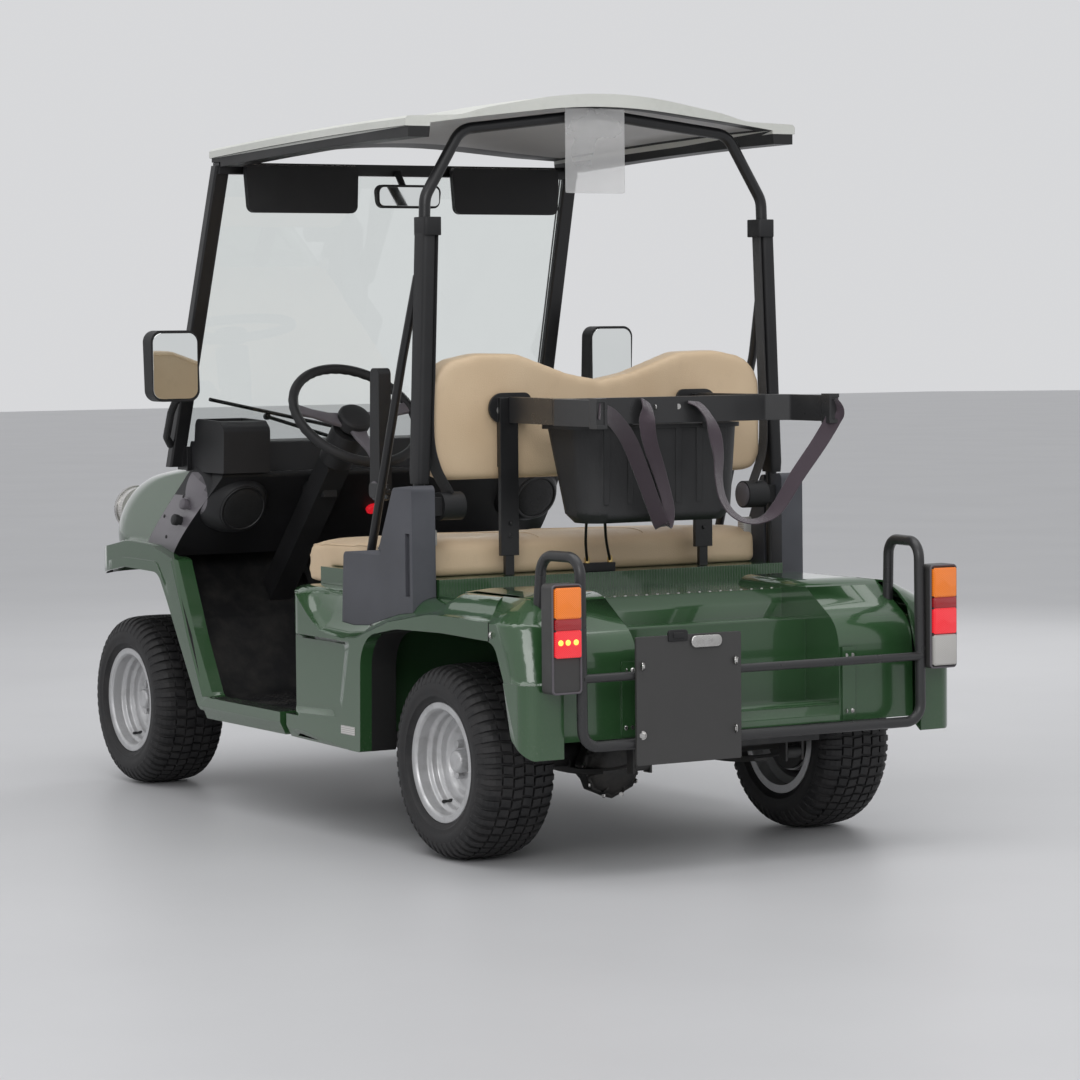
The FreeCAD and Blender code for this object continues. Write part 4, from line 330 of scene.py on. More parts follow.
def dash_plastic():
    """Charcoal dash moulding whose outer sides are a paler satin grey with a mauve cast."""
    dash = Finish("dash_plastic", "black_plastic", Coat_Roughness=0.3, Specular_IOR_Level=0.32)
    side = dash.ramp(abs(dash.facing("Y")), 0.82, 0.90) * (dash.axis("Z") < 0.868) * (abs(dash.axis("Y")) > 0.54)
    patch = dash.ramp(dash.noise(7.0, 3.0), 0.35, 0.75)
    dark = dash.mix(patch, (0.016, 0.016, 0.017), (0.022, 0.022, 0.024))
    pale = dash.mix(patch, (0.150, 0.138, 0.152), (0.180, 0.166, 0.182))
    dash.set("Coat Weight", side * 0.6)
    return dash.look(dash.mix(side, dark, pale), dash.ramp(side, 0.0, 1.0, 0.46, 0.36),
                     dash.cells(1000.0, "SMOOTH_F1"), 0.0006, 0.4)


FINISHES = {
    "green": green_paint(),
    "black_plastic": textured_plastic("black_plastic", (0.016, 0.016, 0.017), "black_plastic"),
    "grey_plastic": textured_plastic("grey_plastic", (0.074, 0.076, 0.087), "grey_plastic", 1100.0),
    "panel_grey": textured_plastic("panel_grey", (0.118, 0.108, 0.120), "grey_plastic", 1000.0, 0.42),
    "basket": textured_plastic("basket_plastic", (0.030, 0.030, 0.031), "black_plastic", 420.0),
    "dash": dash_plastic(),
    "black_coat": powder_coat("black_powder_coat", (0.012, 0.012, 0.013)),
    "plate": powder_coat("panel_powder_coat", (0.050, 0.049, 0.048), 0.5),
    "tube": powder_coat("guard_tube_coat", (0.030, 0.030, 0.031), 0.30),
    "vinyl": beige_vinyl(),
    "tyre": mottled("tyre_rubber", "tyre", (24.0, 6.0, 0.68), (0.38, 0.72), 0.5,
                    ((0.013, 0.013, 0.014), (0.062, 0.058, 0.058)), (0.5, 0.74), (240.0, 3.0, 0.0006, 0.6),
                    Specular_IOR_Level=0.4),
    "mat": mottled("floor_mat", "black_plastic", (11.0, 6.0, 0.65), (0.42, 0.72), 0.4,
                   ((0.010, 0.010, 0.011), (0.070, 0.066, 0.060)), (0.55, 0.8), (600.0, 2.0, 0.0005, 0.5),
                   Specular_IOR_Level=0.2),
    "cast": mottled("cast_metal", "chassis_steel", (26.0, 6.0, 0.65), (0.4, 0.7), 1.0,
                    ((0.040, 0.039, 0.038), (0.085, 0.080, 0.074)), (0.42, 0.7), (420.0, 3.0, 0.0009, 0.7),
                    Metallic=0.5),
    "silver": wheel_silver(),
    "chassis": chassis_steel(),
    "roof": roof_shell(),
    "glass": windscreen_glass(),
    "film": sleeve_film(),
    "mirror": plated("mirror_glass", "lamp_glass", 8.0, ((0.80, 0.83, 0.82), (0.86, 0.88, 0.87)),
                     (30.0, 4.0), (0.5, 0.9), (0.015, 0.06)),
    "bright": plated("bright_steel", "chassis_steel", 40.0, ((0.45, 0.44, 0.42), (0.62, 0.61, 0.60)),
                     (90.0, 3.0), (0.3, 0.7), (0.22, 0.4)),
    "brass": plated("brass", "chassis_steel", 60.0, ((0.52, 0.36, 0.13), (0.66, 0.50, 0.22)),
                    (120.0,), (0.3, 0.7), (0.25, 0.42)),
    "red": lens("red_lens", (0.62, 0.012, 0.02), (1.0, 0.02, 0.035), 0.55),
    "dark_red": lens("dark_red_lens", (0.34, 0.004, 0.008), (0.7, 0.01, 0.016), 0.12),
    "amber": lens("amber_lens", (0.90, 0.20, 0.008), (1.0, 0.26, 0.01), 0.25),
    "spot": lens("lit_spot", (1.0, 0.42, 0.05), (1.0, 0.45, 0.06), 2.4),
    "white_lens": lens("white_lens", (0.62, 0.60, 0.57), (1.0, 1.0, 1.0), 0.0, "lamp_glass"),
    "web": webbing("strap_webbing", (0.030, 0.021, 0.028), (0.088, 0.060, 0.078), 0.6),
    "belt": webbing("belt_webbing", (0.011, 0.011, 0.012), (0.030, 0.029, 0.031), 0.25),
    "grille": speaker_grille(),
}

NODE_FINISHES = {
    "green": "front_body side_panels seat_base rear_body rear_quarters",
    "dash": "dash_body",
    "basket": "basket",
    "black_plastic": "sun_visors driver_controls armrest_left armrest_right battery_block mirrors steering_wheel "
                     "bumper belts wiper",
    "grey_plastic": "side_covers",
    "black_coat": "rear_hoop front_frame rack_uprights",
    "tube": "rear_rail rack_bar",
    "vinyl": "seat_cushion seat_back",
    "tyre": "tyre_rl tyre_rr tyre_fl tyre_fr",
    "silver": "rim_rl rim_rr rim_fl rim_fr",
    "chassis": "rear_axle front_axle knuckle_left knuckle_right tie_rod chassis_frame",
    "roof": "roof",
    "glass": "windshield",
    "film": "document_sleeve",
    "white_lens": "head_lamps",
    "plate": "plate_panel tail_lamps",
    "web": "straps",
    "mat": "floor_pan",
}

for finish_name, members in NODE_FINISHES.items():
    for member in members.split():
        slots = nodes[member].data.materials
        slots.clear()
        slots.append(FINISHES[finish_name].material)


# Making pieces
def new_object(name, mesh):
    """Object at the origin that holds a mesh."""
    made = bpy.data.objects.new(name, mesh)
    bpy.context.collection.objects.link(made)
    return made


def settle(name, mesh, finish, body="chassis", stands_for=(), smooth=35.0, slot=None):
    """Names a finished piece, gives it its finish, and lets it ride on its body in place of any node it stands for."""
    piece = new_object(name, mesh)
    if finish is not None:
        mesh.materials.clear()
        mesh.materials.append(FINISHES[finish].material)
        slot = slot or FINISHES[finish].slot
    if smooth:
        mesh.shade_smooth()
        mesh.set_sharp_from_angle(angle=math.radians(smooth))
    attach(piece, body)
    for node in stands_for:
        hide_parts(node)
    return piece


def evaluated_mesh(source):
    """Plain mesh of an object with its modifiers applied."""
    bpy.context.view_layer.update()
    graph = bpy.context.evaluated_depsgraph_get()
    return bpy.data.meshes.new_from_object(source.evaluated_get(graph))


def welded_copy(node, flatten=0.0):
    """Copy of a CAD node's mesh in the row frame with its points joined, and faces that lie flat made one."""
    mesh = nodes[node].data.copy()
    mesh.transform(nodes[node].matrix_world)
    skin = bmesh.new()
    skin.from_mesh(mesh)
    bmesh.ops.remove_doubles(skin, verts=skin.verts, dist=WELD)
    if flatten:
        bmesh.ops.dissolve_limit(skin, angle_limit=math.radians(flatten), verts=skin.verts, edges=skin.edges)
    skin.to_mesh(mesh)
    skin.free()
    return mesh


def oblong(low, high, radius=0.0):
    """Rectangle between two corners, each with the radius that rounds it."""
    (u0, v0), (u1, v1) = low, high
    return [(u0, v0, radius), (u1, v0, radius), (u1, v1, radius), (u0, v1, radius)]


def rounded(points, steps=6):
    """Corner points (u, v, radius) as a closed outline with its corners turned into short arcs."""
    outline = []
    for i, (*place, radius) in enumerate(points):
        corner = Vector(place)
        if radius <= 0:
            outline.append(corner)
            continue
        before = (Vector(points[i - 1][:2]) - corner).normalized()
        after = (Vector(points[(i + 1) % len(points)][:2]) - corner).normalized()
        half = math.acos(max(-1.0, min(1.0, before.dot(after)))) / 2
        reach = radius / math.tan(half)
        middle = corner + (before + after).normalized() * (radius / math.sin(half))
        first, last = corner + before * reach - middle, corner + after * reach - middle
        turn = math.atan2(first.x * last.y - first.y * last.x, first.dot(last))
        for k in range(steps + 1):
            c, s = math.cos(turn * k / steps), math.sin(turn * k / steps)
            outline.append(middle + Vector((first.x * c - first.y * s, first.x * s + first.y * c)))
    return outline


def directions(path):
    """Direction of travel at each point of a path."""
    return [(path[min(i + 1, len(path) - 1)] - path[max(i - 1, 0)]).normalized() for i in range(len(path))]


def circle(count):
    """Cosine and sine of equal steps round a circle."""
    return [(math.cos(math.tau * k / count), math.sin(math.tau * k / count)) for k in range(count)]


class Form:
    """A mesh in the making, in millimetres from the rear axle, or about the world's origin for a pattern."""

    def __init__(self, local=False):
        self.mesh = bmesh.new()
        self.placed = (lambda *place: Vector(place) / 1000) if local else at

    def skin(self, rings, caps=True):
        """Faces between rings of the same number of points, with the two ends closed."""
        made = [[self.mesh.verts.new(self.placed(*place)) for place in ring] for ring in rings]
        count = len(made[0])
        for low, high in zip(made, made[1:]):
            for k in range(count):
                after = (k + 1) % count
                self.mesh.faces.new((low[k], low[after], high[after], high[k]))
        if caps:
            self.mesh.faces.new(list(reversed(made[0])))
            self.mesh.faces.new(made[-1])
        return self

    def plate(self, outline, low, high, axis="x"):
        """Outline drawn square to an axis and given its thickness along it."""
        turn = {"x": lambda u, v, w: (w, u, v), "y": lambda u, v, w: (u, w, v), "z": lambda u, v, w: (u, v, w)}[axis]
        flat = rounded(outline)
        return self.skin([[turn(p.x, p.y, level) for p in flat] for level in (low, high)])

    def block(self, low, high):
        """Box between two corners."""
        return self.plate(oblong(low[:2], high[:2]), low[2], high[2], "z")

    def turned(self, centre, axis, profile, steps=24, closed=False):
        """Profile of (radius, height) turned about an axis through a centre; its ends meet the axis."""
        axis, centre = Vector(axis).normalized(), Vector(centre)
        side = axis.orthogonal().normalized()
        other = axis.cross(side)
        rings = [[centre + axis * height + (side * c + other * s) * radius for c, s in circle(steps)]
                 for radius, height in profile]
        return self.skin(rings + rings[:1] if closed else rings, caps=not closed)

    def tube(self, path, radius, steps=12):
        """Round tube along smooth points, its section carried without twist."""
        path = [Vector(p) for p in path]
        normal = (path[1] - path[0]).orthogonal().normalized()
        rings = []
        for place, along in zip(path, directions(path)):
            normal = (normal - along * normal.dot(along)).normalized()
            other = along.cross(normal)
            rings.append([place + (normal * c + other * s) * radius for c, s in circle(steps)])
        return self.skin(rings)

    def band(self, path, across, width, thick):
        """Flat webbing along a path, with the direction across it at each point, and its UV in metres."""
        layers = self.mesh.loops.layers.uv
        layer = layers.get("UVMap") or layers.new("UVMap")
        path = [Vector(p) for p in path]
        section = [(-1.0, -1), (-0.4, -1), (0.4, -1), (1.0, -1), (1.0, 1), (0.4, 1), (-0.4, 1), (-1.0, 1)]
        count = len(section)
        made, lengths, run = [], [], 0.0
        for i, (place, along) in enumerate(zip(path, directions(path))):
            aside = Vector(across[i])
            aside = (aside - along * aside.dot(along)).normalized()
            out = along.cross(aside).normalized()
            made += [self.mesh.verts.new(at(*(place + aside * (u * width / 2) + out * (v * thick / 2))))
                     for u, v in section]
            run += (place - path[i - 1]).length / 1000 if i else 0.0
            lengths.append(run)
        for i in range(len(path) - 1):
            for k in range(count):
                after = (k + 1) % count
                quad = (i * count + k, i * count + after, (i + 1) * count + after, (i + 1) * count + k)
                face = self.mesh.faces.new([made[q] for q in quad])
                for loop, q in zip(face.loops, quad):
                    loop[layer].uv = ((section[q % count][0] + 1) / 2, lengths[q // count])
        for end, order in ((made[:count], 1), (made[-count:], -1)):
            face = self.mesh.faces.new(end[::order])
            for loop in face.loops:
                loop[layer].uv = (0.5, lengths[0] if order > 0 else lengths[-1])
        return self

    def plain(self, name):
        """Closes the form and gives its mesh."""
        mesh = bpy.data.meshes.new(name)
        self.mesh.to_mesh(mesh)
        self.mesh.free()
        return mesh

    def pattern(self):
        """Closes the form as an object for a repeat to copy."""
        bmesh.ops.recalc_face_normals(self.mesh, faces=self.mesh.faces)
        return new_object("pattern", self.plain("pattern"))

    def done(self, name, bevel=0.0, segments=2):
        """The finished mesh: doubles merged, faces outwards, and its sharp edges softened."""
        bmesh.ops.remove_doubles(self.mesh, verts=self.mesh.verts, dist=WELD)
        bmesh.ops.recalc_face_normals(self.mesh, faces=self.mesh.faces)
        if bevel:
            sharp = [e for e in self.mesh.edges if len(e.link_faces) == 2 and e.calc_face_angle(0.0) > SHARP_ANGLE]
            bmesh.ops.bevel(self.mesh, geom=sharp, offset=bevel / 1000, segments=segments, profile=0.5,
                            affect="EDGES", clamp_overlap=True)
        return self.plain(name)

    def piece(self, name, finish, bevel=0.0, segments=2, **riding):
        """The form as a settled piece."""
        return settle(name, self.done(name, bevel, segments), finish, **riding)


def turned_pair(name, finish, centre, axis, profile, steps, closed=False, **riding):
    """Piece of two turned shapes, one on each side of the middle."""
    form = Form()
    for side in SIDES:
        form.turned((centre[0], side * centre[1], centre[2]), (axis[0], side * axis[1], axis[2]), profile, steps,
                    closed)
    form.piece(name, finish, **riding)


def smooth_path(points, spans=8):
    """Points along one soft curve through the corners of a route."""
    route = [Vector(p) for p in points]
    ends = [route[0] * 2 - route[1]] + route + [route[-1] * 2 - route[-2]]
    curve = []
    for a, b, c, d in zip(ends, ends[1:], ends[2:], ends[3:]):
        for t in (k / spans for k in range(spans)):
            curve.append(0.5 * (2 * b + (c - a) * t + (2 * a - 5 * b + 4 * c - d) * t ** 2
                                + (3 * b - a - 3 * c + d) * t ** 3))
    return curve + [route[-1]]


# Repeats
class Grower:
    """A geometry node tree with named inputs that ends in plain, finished geometry."""

    def __init__(self, name, **inputs):
        """Takes the inputs' names with their kinds; `sockets` gives them in that order."""
        self.group = bpy.data.node_groups.new(name, "GeometryNodeTree")
        interface = self.group.interface
        interface.new_socket("Geometry", in_out="OUTPUT", socket_type="NodeSocketGeometry")
        inlet = self.group.nodes.new("NodeGroupInput")
        self.keys = {key: interface.new_socket(key, in_out="INPUT", socket_type="NodeSocket" + kind).identifier
                     for key, kind in inputs.items()}
        self.sockets = [inlet.outputs[key] for key in inputs]

    def node(self, kind, values=None, output=0, **settings):
        return add_node(self.group, kind, settings, values or {}, output)

    def maths(self, operation, *values):
        return self.node("ShaderNodeMath", dict(enumerate(values)), operation=operation)

    def copies(self, points, shape, turn=None, size=None):
        """Sets an object's geometry on every point."""
        shape = self.node("GeometryNodeObjectInfo", {"Object": shape}, "Geometry")
        values = {"Points": points, "Instance": shape, "Rotation": turn, "Scale": size}
        return self.node("GeometryNodeInstanceOnPoints", {k: v for k, v in values.items() if v is not None})

    def moved(self, geometry, offset):
        return self.node("GeometryNodeTransform", {"Geometry": geometry, "Translation": offset})

    def end(self, instances, finish):
        """Closes the tree: instances become real faces with their finish."""
        real = self.node("GeometryNodeRealizeInstances", {0: instances})
        coated = self.node("GeometryNodeSetMaterial", {"Geometry": real, "Material": finish})
        self.group.links.new(coated, self.group.nodes.new("NodeGroupOutput").inputs[0])
        return self

    def grow(self, name, **values):
        """Runs the tree with its inputs set and returns the plain mesh."""
        carrier = new_object(name + "_carrier", bpy.data.meshes.new(name + "_carrier"))
        modifier = carrier.modifiers.new("grow", "NODES")
        modifier.node_group = self.group
        for key, value in values.items():
            modifier[self.keys[key]] = value
        mesh = evaluated_mesh(carrier)
        bpy.data.objects.remove(carrier)
        mesh.name = name
        return mesh


def ring_grower():
    """Repeats one block round an axle."""
    tree = Grower("ring_of_blocks", Block="Object", Count="Int", Phase="Float", Centre="Vector", Finish="Material")
    block, count, phase, centre, finish = tree.sockets
    stations = tree.node("GeometryNodeMeshLine", {"Count": count, "Offset": (0.0, 0.0, 0.0)})
    share = tree.maths("DIVIDE", tree.node("GeometryNodeInputIndex"), count)
    turn = tree.node("ShaderNodeCombineXYZ", {"Y": tree.maths("MULTIPLY_ADD", share, math.tau, phase)})
    return tree.end(tree.moved(tree.copies(stations, block, turn), centre), finish)


def fitting_grower():
    """Sets one fitting at every point of a set of places, each spun a little differently."""
    tree = Grower("fittings_on_places", Fitting="Object", Places="Object", Turn="Vector", Size="Float",
                  Spread="Float", Seed="Int", Finish="Material")
    fitting, places, turn, size, spread, seed, finish = tree.sockets
    where = tree.node("GeometryNodeObjectInfo", {"Object": places}, "Geometry")
    spin = tree.node("FunctionNodeRandomValue", {"Min": 0.0, "Max": spread, "Seed": seed}, 1, data_type="FLOAT")
    spun = tree.node("ShaderNodeCombineXYZ", {"Z": spin})
    own = tree.node("FunctionNodeRotateEuler", {"Rotation": turn, "Rotate By": spun}, rotation_type="EULER",
                    space="OBJECT")
    return tree.end(tree.copies(where, fitting, own, size), finish)


def dot_grower():
    """Rows of raised dots, every second row shifted by half a step."""
    tree = Grower("dot_field", Dot="Object", Length="Float", Width="Float", Columns="Int", Rows="Int",
                  Centre="Vector", Finish="Material")
    dot, length, width, columns, rows, centre, finish = tree.sockets
    field = tree.node("GeometryNodeMeshGrid",
                      {"Size X": length, "Size Y": width, "Vertices X": columns, "Vertices Y": rows})
    row = tree.maths("MODULO", tree.node("GeometryNodeInputIndex"), rows)
    half = tree.maths("MULTIPLY", tree.maths("DIVIDE", length, columns), 0.5)
    shift = tree.maths("MULTIPLY", tree.maths("MODULO", row, 2.0), half)
    offset = tree.node("ShaderNodeCombineXYZ", {"X": shift})
    shifted = tree.node("GeometryNodeSetPosition", {"Geometry": field, "Offset": offset})
    return tree.end(tree.moved(tree.copies(shifted, dot), centre), finish)


RING = ring_grower()
FITTINGS = fitting_grower()
DOTS = dot_grower()


def knob_pattern(profile, steps):
    """Pattern turned about Z from (radius, height) pairs in millimetres; few steps give a polygon head."""
    return Form(local=True).skin([[(radius * c, radius * s, height) for c, s in circle(steps)]
                                  for radius, height in profile]).pattern()


FACING = {
    # outward direction of a fitting's head: turn of a pattern drawn along +Z
    "rear": (0.0, -math.pi / 2, 0.0),
    "left": (-math.pi / 2, 0.0, 0.0),
    "right": (math.pi / 2, 0.0, 0.0),
    "up": (0.0, 0.0, 0.0),
}
ROUND, HEXAGON = 14, 6
HEADS = {
    # profile of (radius, height), steps round it
    "pan_screw": ([(5.2, -0.5), (5.2, 1.2), (4.3, 2.6), (2.0, 3.2), (1.6, 2.0)], ROUND),
    "hex_bolt": ([(8.6, -0.5), (8.6, 4.6), (7.4, 5.6)], HEXAGON),
    "small_hex": ([(5.6, -0.5), (5.6, 3.2), (4.8, 4.0)], HEXAGON),
    "washer": ([(10.5, -0.5), (10.5, 1.4), (9.8, 1.9)], ROUND),
    "rivet": ([(3.6, -0.4), (3.5, 0.7), (2.4, 1.6), (0.8, 1.95)], ROUND),
    "button": ([(9.0, -0.5), (9.0, 2.6), (7.2, 4.4), (3.0, 5.0)], ROUND),
}
FULL_SPIN = 6.28


def fit_out(name, head, facing, places, finish="bright", size=1.0, body="chassis"):
    """One piece of equal fittings at several places, in millimetres at the rear axle."""
    pattern = knob_pattern(*HEADS[head])
    spots = bpy.data.meshes.new("places")
    spots.from_pydata([at(*place) for place in places], [], [])
    spot_object = new_object("places", spots)
    mesh = FITTINGS.grow(name, Fitting=pattern, Places=spot_object, Turn=FACING[facing], Size=size,
                         Spread=FULL_SPIN, Seed=len(places), Finish=FINISHES[finish].material)
    for used in (pattern, spot_object):
        bpy.data.objects.remove(used)
    return settle(name, mesh, None, body, smooth=30.0, slot=FINISHES[finish].slot)


# Wheels
LUG_PITCHES = 54
TREAD_EDGE = 57.0               # beyond this distance from the middle the blocks are shoulder lugs
CROWN = [
    # distance from the tyre's middle, radius at the tops of the blocks, radius at the groove's foot
    (0.0, 230.0, 223.5), (30.0, 229.7, 223.0), (56.0, 228.2, 221.5), (72.0, 225.2, 218.0),
    (84.0, 219.6, 212.5), (93.0, 211.0, 204.5), (99.5, 200.0, 196.0), (102.0, 190.5, 188.5),
]
TREAD_BLOCKS = [
    # low and high y, share of the pitch it fills, its shift round the tyre, wave of its two ends
    (-54.0, -31.5, 0.80, 0.10, 0.10), (-28.0, -4.0, 0.82, -0.08, -0.10),
    (-0.5, 24.0, 0.82, 0.10, 0.10), (27.5, 54.0, 0.80, -0.08, -0.10),
]
SHOULDER_LUGS = [(58.0, 72.0, 0.62), (72.0, 84.0, 0.62), (84.0, 93.0, 0.62), (93.0, 101.5, 0.55)]
CARCASS = [
    # distance from the tyre's middle and radius: crown, wall and bead, then back along the inside
    (0.0, 223.5), (30.0, 223.0), (56.0, 221.5), (72.0, 218.0), (84.0, 212.5), (93.0, 204.5), (99.0, 196.0),
    (101.6, 186.0), (102.3, 178.0), (101.4, 170.0), (99.2, 163.0), (99.8, 159.5), (99.2, 156.5), (95.0, 154.0),
    (91.0, 149.0), (89.0, 144.5), (84.0, 141.5),
    (84.0, 128.0), (70.0, 128.0), (78.0, 150.0), (88.0, 176.0), (80.0, 200.0), (50.0, 210.0), (0.0, 211.0),
]


def crown_at(y, column):
    """Radius of the tread at a distance from the tyre's middle."""
    y = abs(y)
    for (y0, *r0), (y1, *r1) in zip(CROWN, CROWN[1:]):
        if y <= y1:
            return r0[column] + (r1[column] - r0[column]) * (y - y0) / (y1 - y0)
    return CROWN[-1][1 + column]


def tread_pitch():
    """One pitch of the tread: four blocks over the middle and a shoulder lug that wraps onto each side wall."""
    pitch = math.tau / LUG_PITCHES
    lugs = [(*sorted((side * y0, side * y1)), fill, 0.0, 0.0) for side in SIDES for y0, y1, fill in SHOULDER_LUGS]
    form = Form(local=True)
    for low, high, fill, shift, wave in TREAD_BLOCKS + lugs:
        rings = []
        for column, sunk, shrink in ((1, 1.5, 0.0), (0, 0.0, 1.0)):
            ring = []
            for y, end, sides in ((low, -1, (-1, 1)), (high, 1, (1, -1))):
                inset = 0.9 * shrink if abs(y) < TREAD_EDGE else 0.0
                radius = crown_at(y, column) - sunk
                for side in sides:
                    angle = pitch * (side * (fill / 2 - 0.05 * shrink) + shift + wave * end * 0.5)
                    ring.append((radius * math.cos(angle), y - end * inset, radius * math.sin(angle)))
            rings.append(ring)
        form.skin(rings)
    return form.pattern()


def make_tyres():
    """Four tyres: a carcass with bulged walls and rim guards, and its blocks repeated round it."""
    profile = CARCASS + [(-y, r) for y, r in reversed(CARCASS[1:-1])]
    pattern = tread_pitch()
    for number, (corner, (x, y)) in enumerate(WHEELS.items()):
        walls = Form().turned((x, y, WHEEL_Z), (0, 1, 0), [(r, off) for off, r in profile], 120, closed=True)
        blocks = RING.grow("blocks", Block=pattern, Count=LUG_PITCHES, Phase=0.13 * number,
                           Centre=tuple(at(x, y, WHEEL_Z)), Finish=FINISHES["tyre"].material)
        joined = Form()
        for mesh in (walls.done("walls"), blocks):
            joined.mesh.from_mesh(mesh)
        settle("treaded_tyre_" + corner, joined.plain("tyre"), "tyre", "wheel_" + corner, ["tyre_" + corner], 32.0)
    bpy.data.objects.remove(pattern)


VALVE_REACH, VALVE_ANGLE = 113, math.radians(-62)
VALVE = [(5.5, -6), (5.5, 2), (4.2, 5), (3.2, 7), (3.2, 12), (4.0, 13), (4.0, 22), (2.6, 24)]
DUST_CAP = [(31, -4), (31, 2), (29, 5), (25, 6), (24, 16), (20, 20), (8, 22)]


def make_wheel_fittings():
    """Valve stems and bright dust caps in the wheels."""
    for corner, (x, y) in WHEELS.items():
        side = 1 if y > 0 else -1
        foot = (x + VALVE_REACH * math.cos(VALVE_ANGLE), y + side * 34, WHEEL_Z + VALVE_REACH * math.sin(VALVE_ANGLE))
        Form().turned(foot, (0.0, side, 0.0), VALVE, 12).piece("valve_" + corner, "black_plastic",
                                                               body="wheel_" + corner)
        Form().turned((x, y + side * 14, WHEEL_Z), (0.0, side, 0.0), DUST_CAP, 28).piece(
            "dust_cap_" + corner, "bright", body="wheel_" + corner, smooth=28.0)


# Seats
CUSHION_VOXEL = 0.010           # metres
PUFF_FRAMES = 20
SHRINK = 4.0                    # millimetres taken off a cushion before it is blown up
SIDE_SOFTNESS = 0.12            # share of the puffing that a face turned away is allowed
EVENING = 0.4                   # share of the way to its neighbours that a point moves
CLOTH = {"use_pressure": True, "uniform_pressure_force": 4.0, "quality": 5, "tension_stiffness": 18.0,
         "compression_stiffness": 18.0, "bending_stiffness": 0.6}


def cushion(name, node, soft_direction, cap):
    """Upholstered copy of a CAD cushion: blown up as cloth, held to a few millimetres, and smoothed once."""
    piece = new_object(name, welded_copy(node))
    remesh = piece.modifiers.new("remesh", "REMESH")
    remesh.mode = "VOXEL"
    remesh.voxel_size = CUSHION_VOXEL
    mesh = evaluated_mesh(piece)
    piece.modifiers.clear()
    piece.data = mesh
    direction = Vector(soft_direction)
    facing = [max(0.0, v.normal.dot(direction)) for v in mesh.vertices]
    rest = [v.co - v.normal * (SHRINK / 1000) * share for v, share in zip(mesh.vertices, facing)]
    for vertex, place in zip(mesh.vertices, rest):
        vertex.co = place
    cloth = piece.modifiers.new("cloth", "CLOTH")
    for key, value in CLOTH.items():
        setattr(cloth.settings, key, value)
    cloth.settings.effector_weights.gravity = 0.0
    cloth.point_cache.frame_start, cloth.point_cache.frame_end = 1, PUFF_FRAMES
    scene = bpy.context.scene
    for frame_number in range(1, PUFF_FRAMES + 1):
        scene.frame_set(frame_number)
    puffed = evaluated_mesh(piece)
    piece.modifiers.clear()
    scene.frame_set(1)
    for vertex, place, share, new in zip(mesh.vertices, rest, facing, puffed.vertices):
        move = new.co - place
        limit = cap / 1000 * (SIDE_SOFTNESS + (1.0 - SIDE_SOFTNESS) * share)
        vertex.co = place + move * min(1.0, limit / max(move.length, 1e-6))
    for _ in range(2):
        smooth_once(mesh)
    divide = piece.modifiers.new("divide", "SUBSURF")
    divide.levels = divide.render_levels = 1
    final = evaluated_mesh(piece)
    bpy.data.objects.remove(piece)
    made = settle(name, final, "vinyl", stands_for=[node], smooth=60.0)
    return made


def smooth_once(mesh):
    """Evens a closed mesh a little, each point moving part of the way to its neighbours' mean."""
    sums = [Vector() for _ in mesh.vertices]
    counts = [0] * len(mesh.vertices)
    for edge in mesh.edges:
        for here, there in (edge.vertices, reversed(edge.vertices)):
            sums[here] += mesh.vertices[there].co
            counts[here] += 1
    for vertex, total, count in zip(mesh.vertices, sums, counts):
        if count:
            vertex.co = vertex.co.lerp(total / count, EVENING)


def seam(name, over, route, radius=2.0, lift=0.3):
    """Welt laid on the surface of a finished cushion, along a route given beside it."""
    tree = BVHTree.FromObject(over, bpy.context.evaluated_depsgraph_get())
    path = []
    for place in route:
        hit, normal, _, _ = tree.find_nearest(at(*place))
        path.append(station(hit + normal * (lift / 1000)))
    Form().tube(path, radius, 8).piece(name, "vinyl", smooth=60.0)


BACK_SHOULDER = [(430, 1142), (400, 1168), (340, 1178), (235, 1176), (160, 1148), (90, 1126)]


def make_seat():
    bottom = cushion("seat_cushion_cover", "seat_cushion", (0, 0, 1), 11.0)
    back = cushion("seat_back_cover", "seat_back", (1, 0, 0), 9.0)
    edge = [(x, -472) for x in range(230, 840, 14)] + [(866, y) for y in range(-455, 460, 14)] \
        + [(x, 472) for x in range(838, 226, -14)]
    seam("cushion_seam", bottom, [(x, y, 714 - (x - 230) * 0.012) for x, y in edge])
    for side, word in zip(SIDES, ("right", "left")):
        seam("cushion_panel_seam_" + word, bottom, [(x, side * 152, 745) for x in range(240, 846, 12)], 1.6)
    ring = [(-458, z) for z in range(900, 1110, 14)] + [(-y, z) for y, z in BACK_SHOULDER] + [(0, 1110)] \
        + BACK_SHOULDER[::-1] + [(458, z) for z in range(1106, 898, -14)]
    seam("back_seam", back, [(279, y, z) for y, z in ring], 1.8)


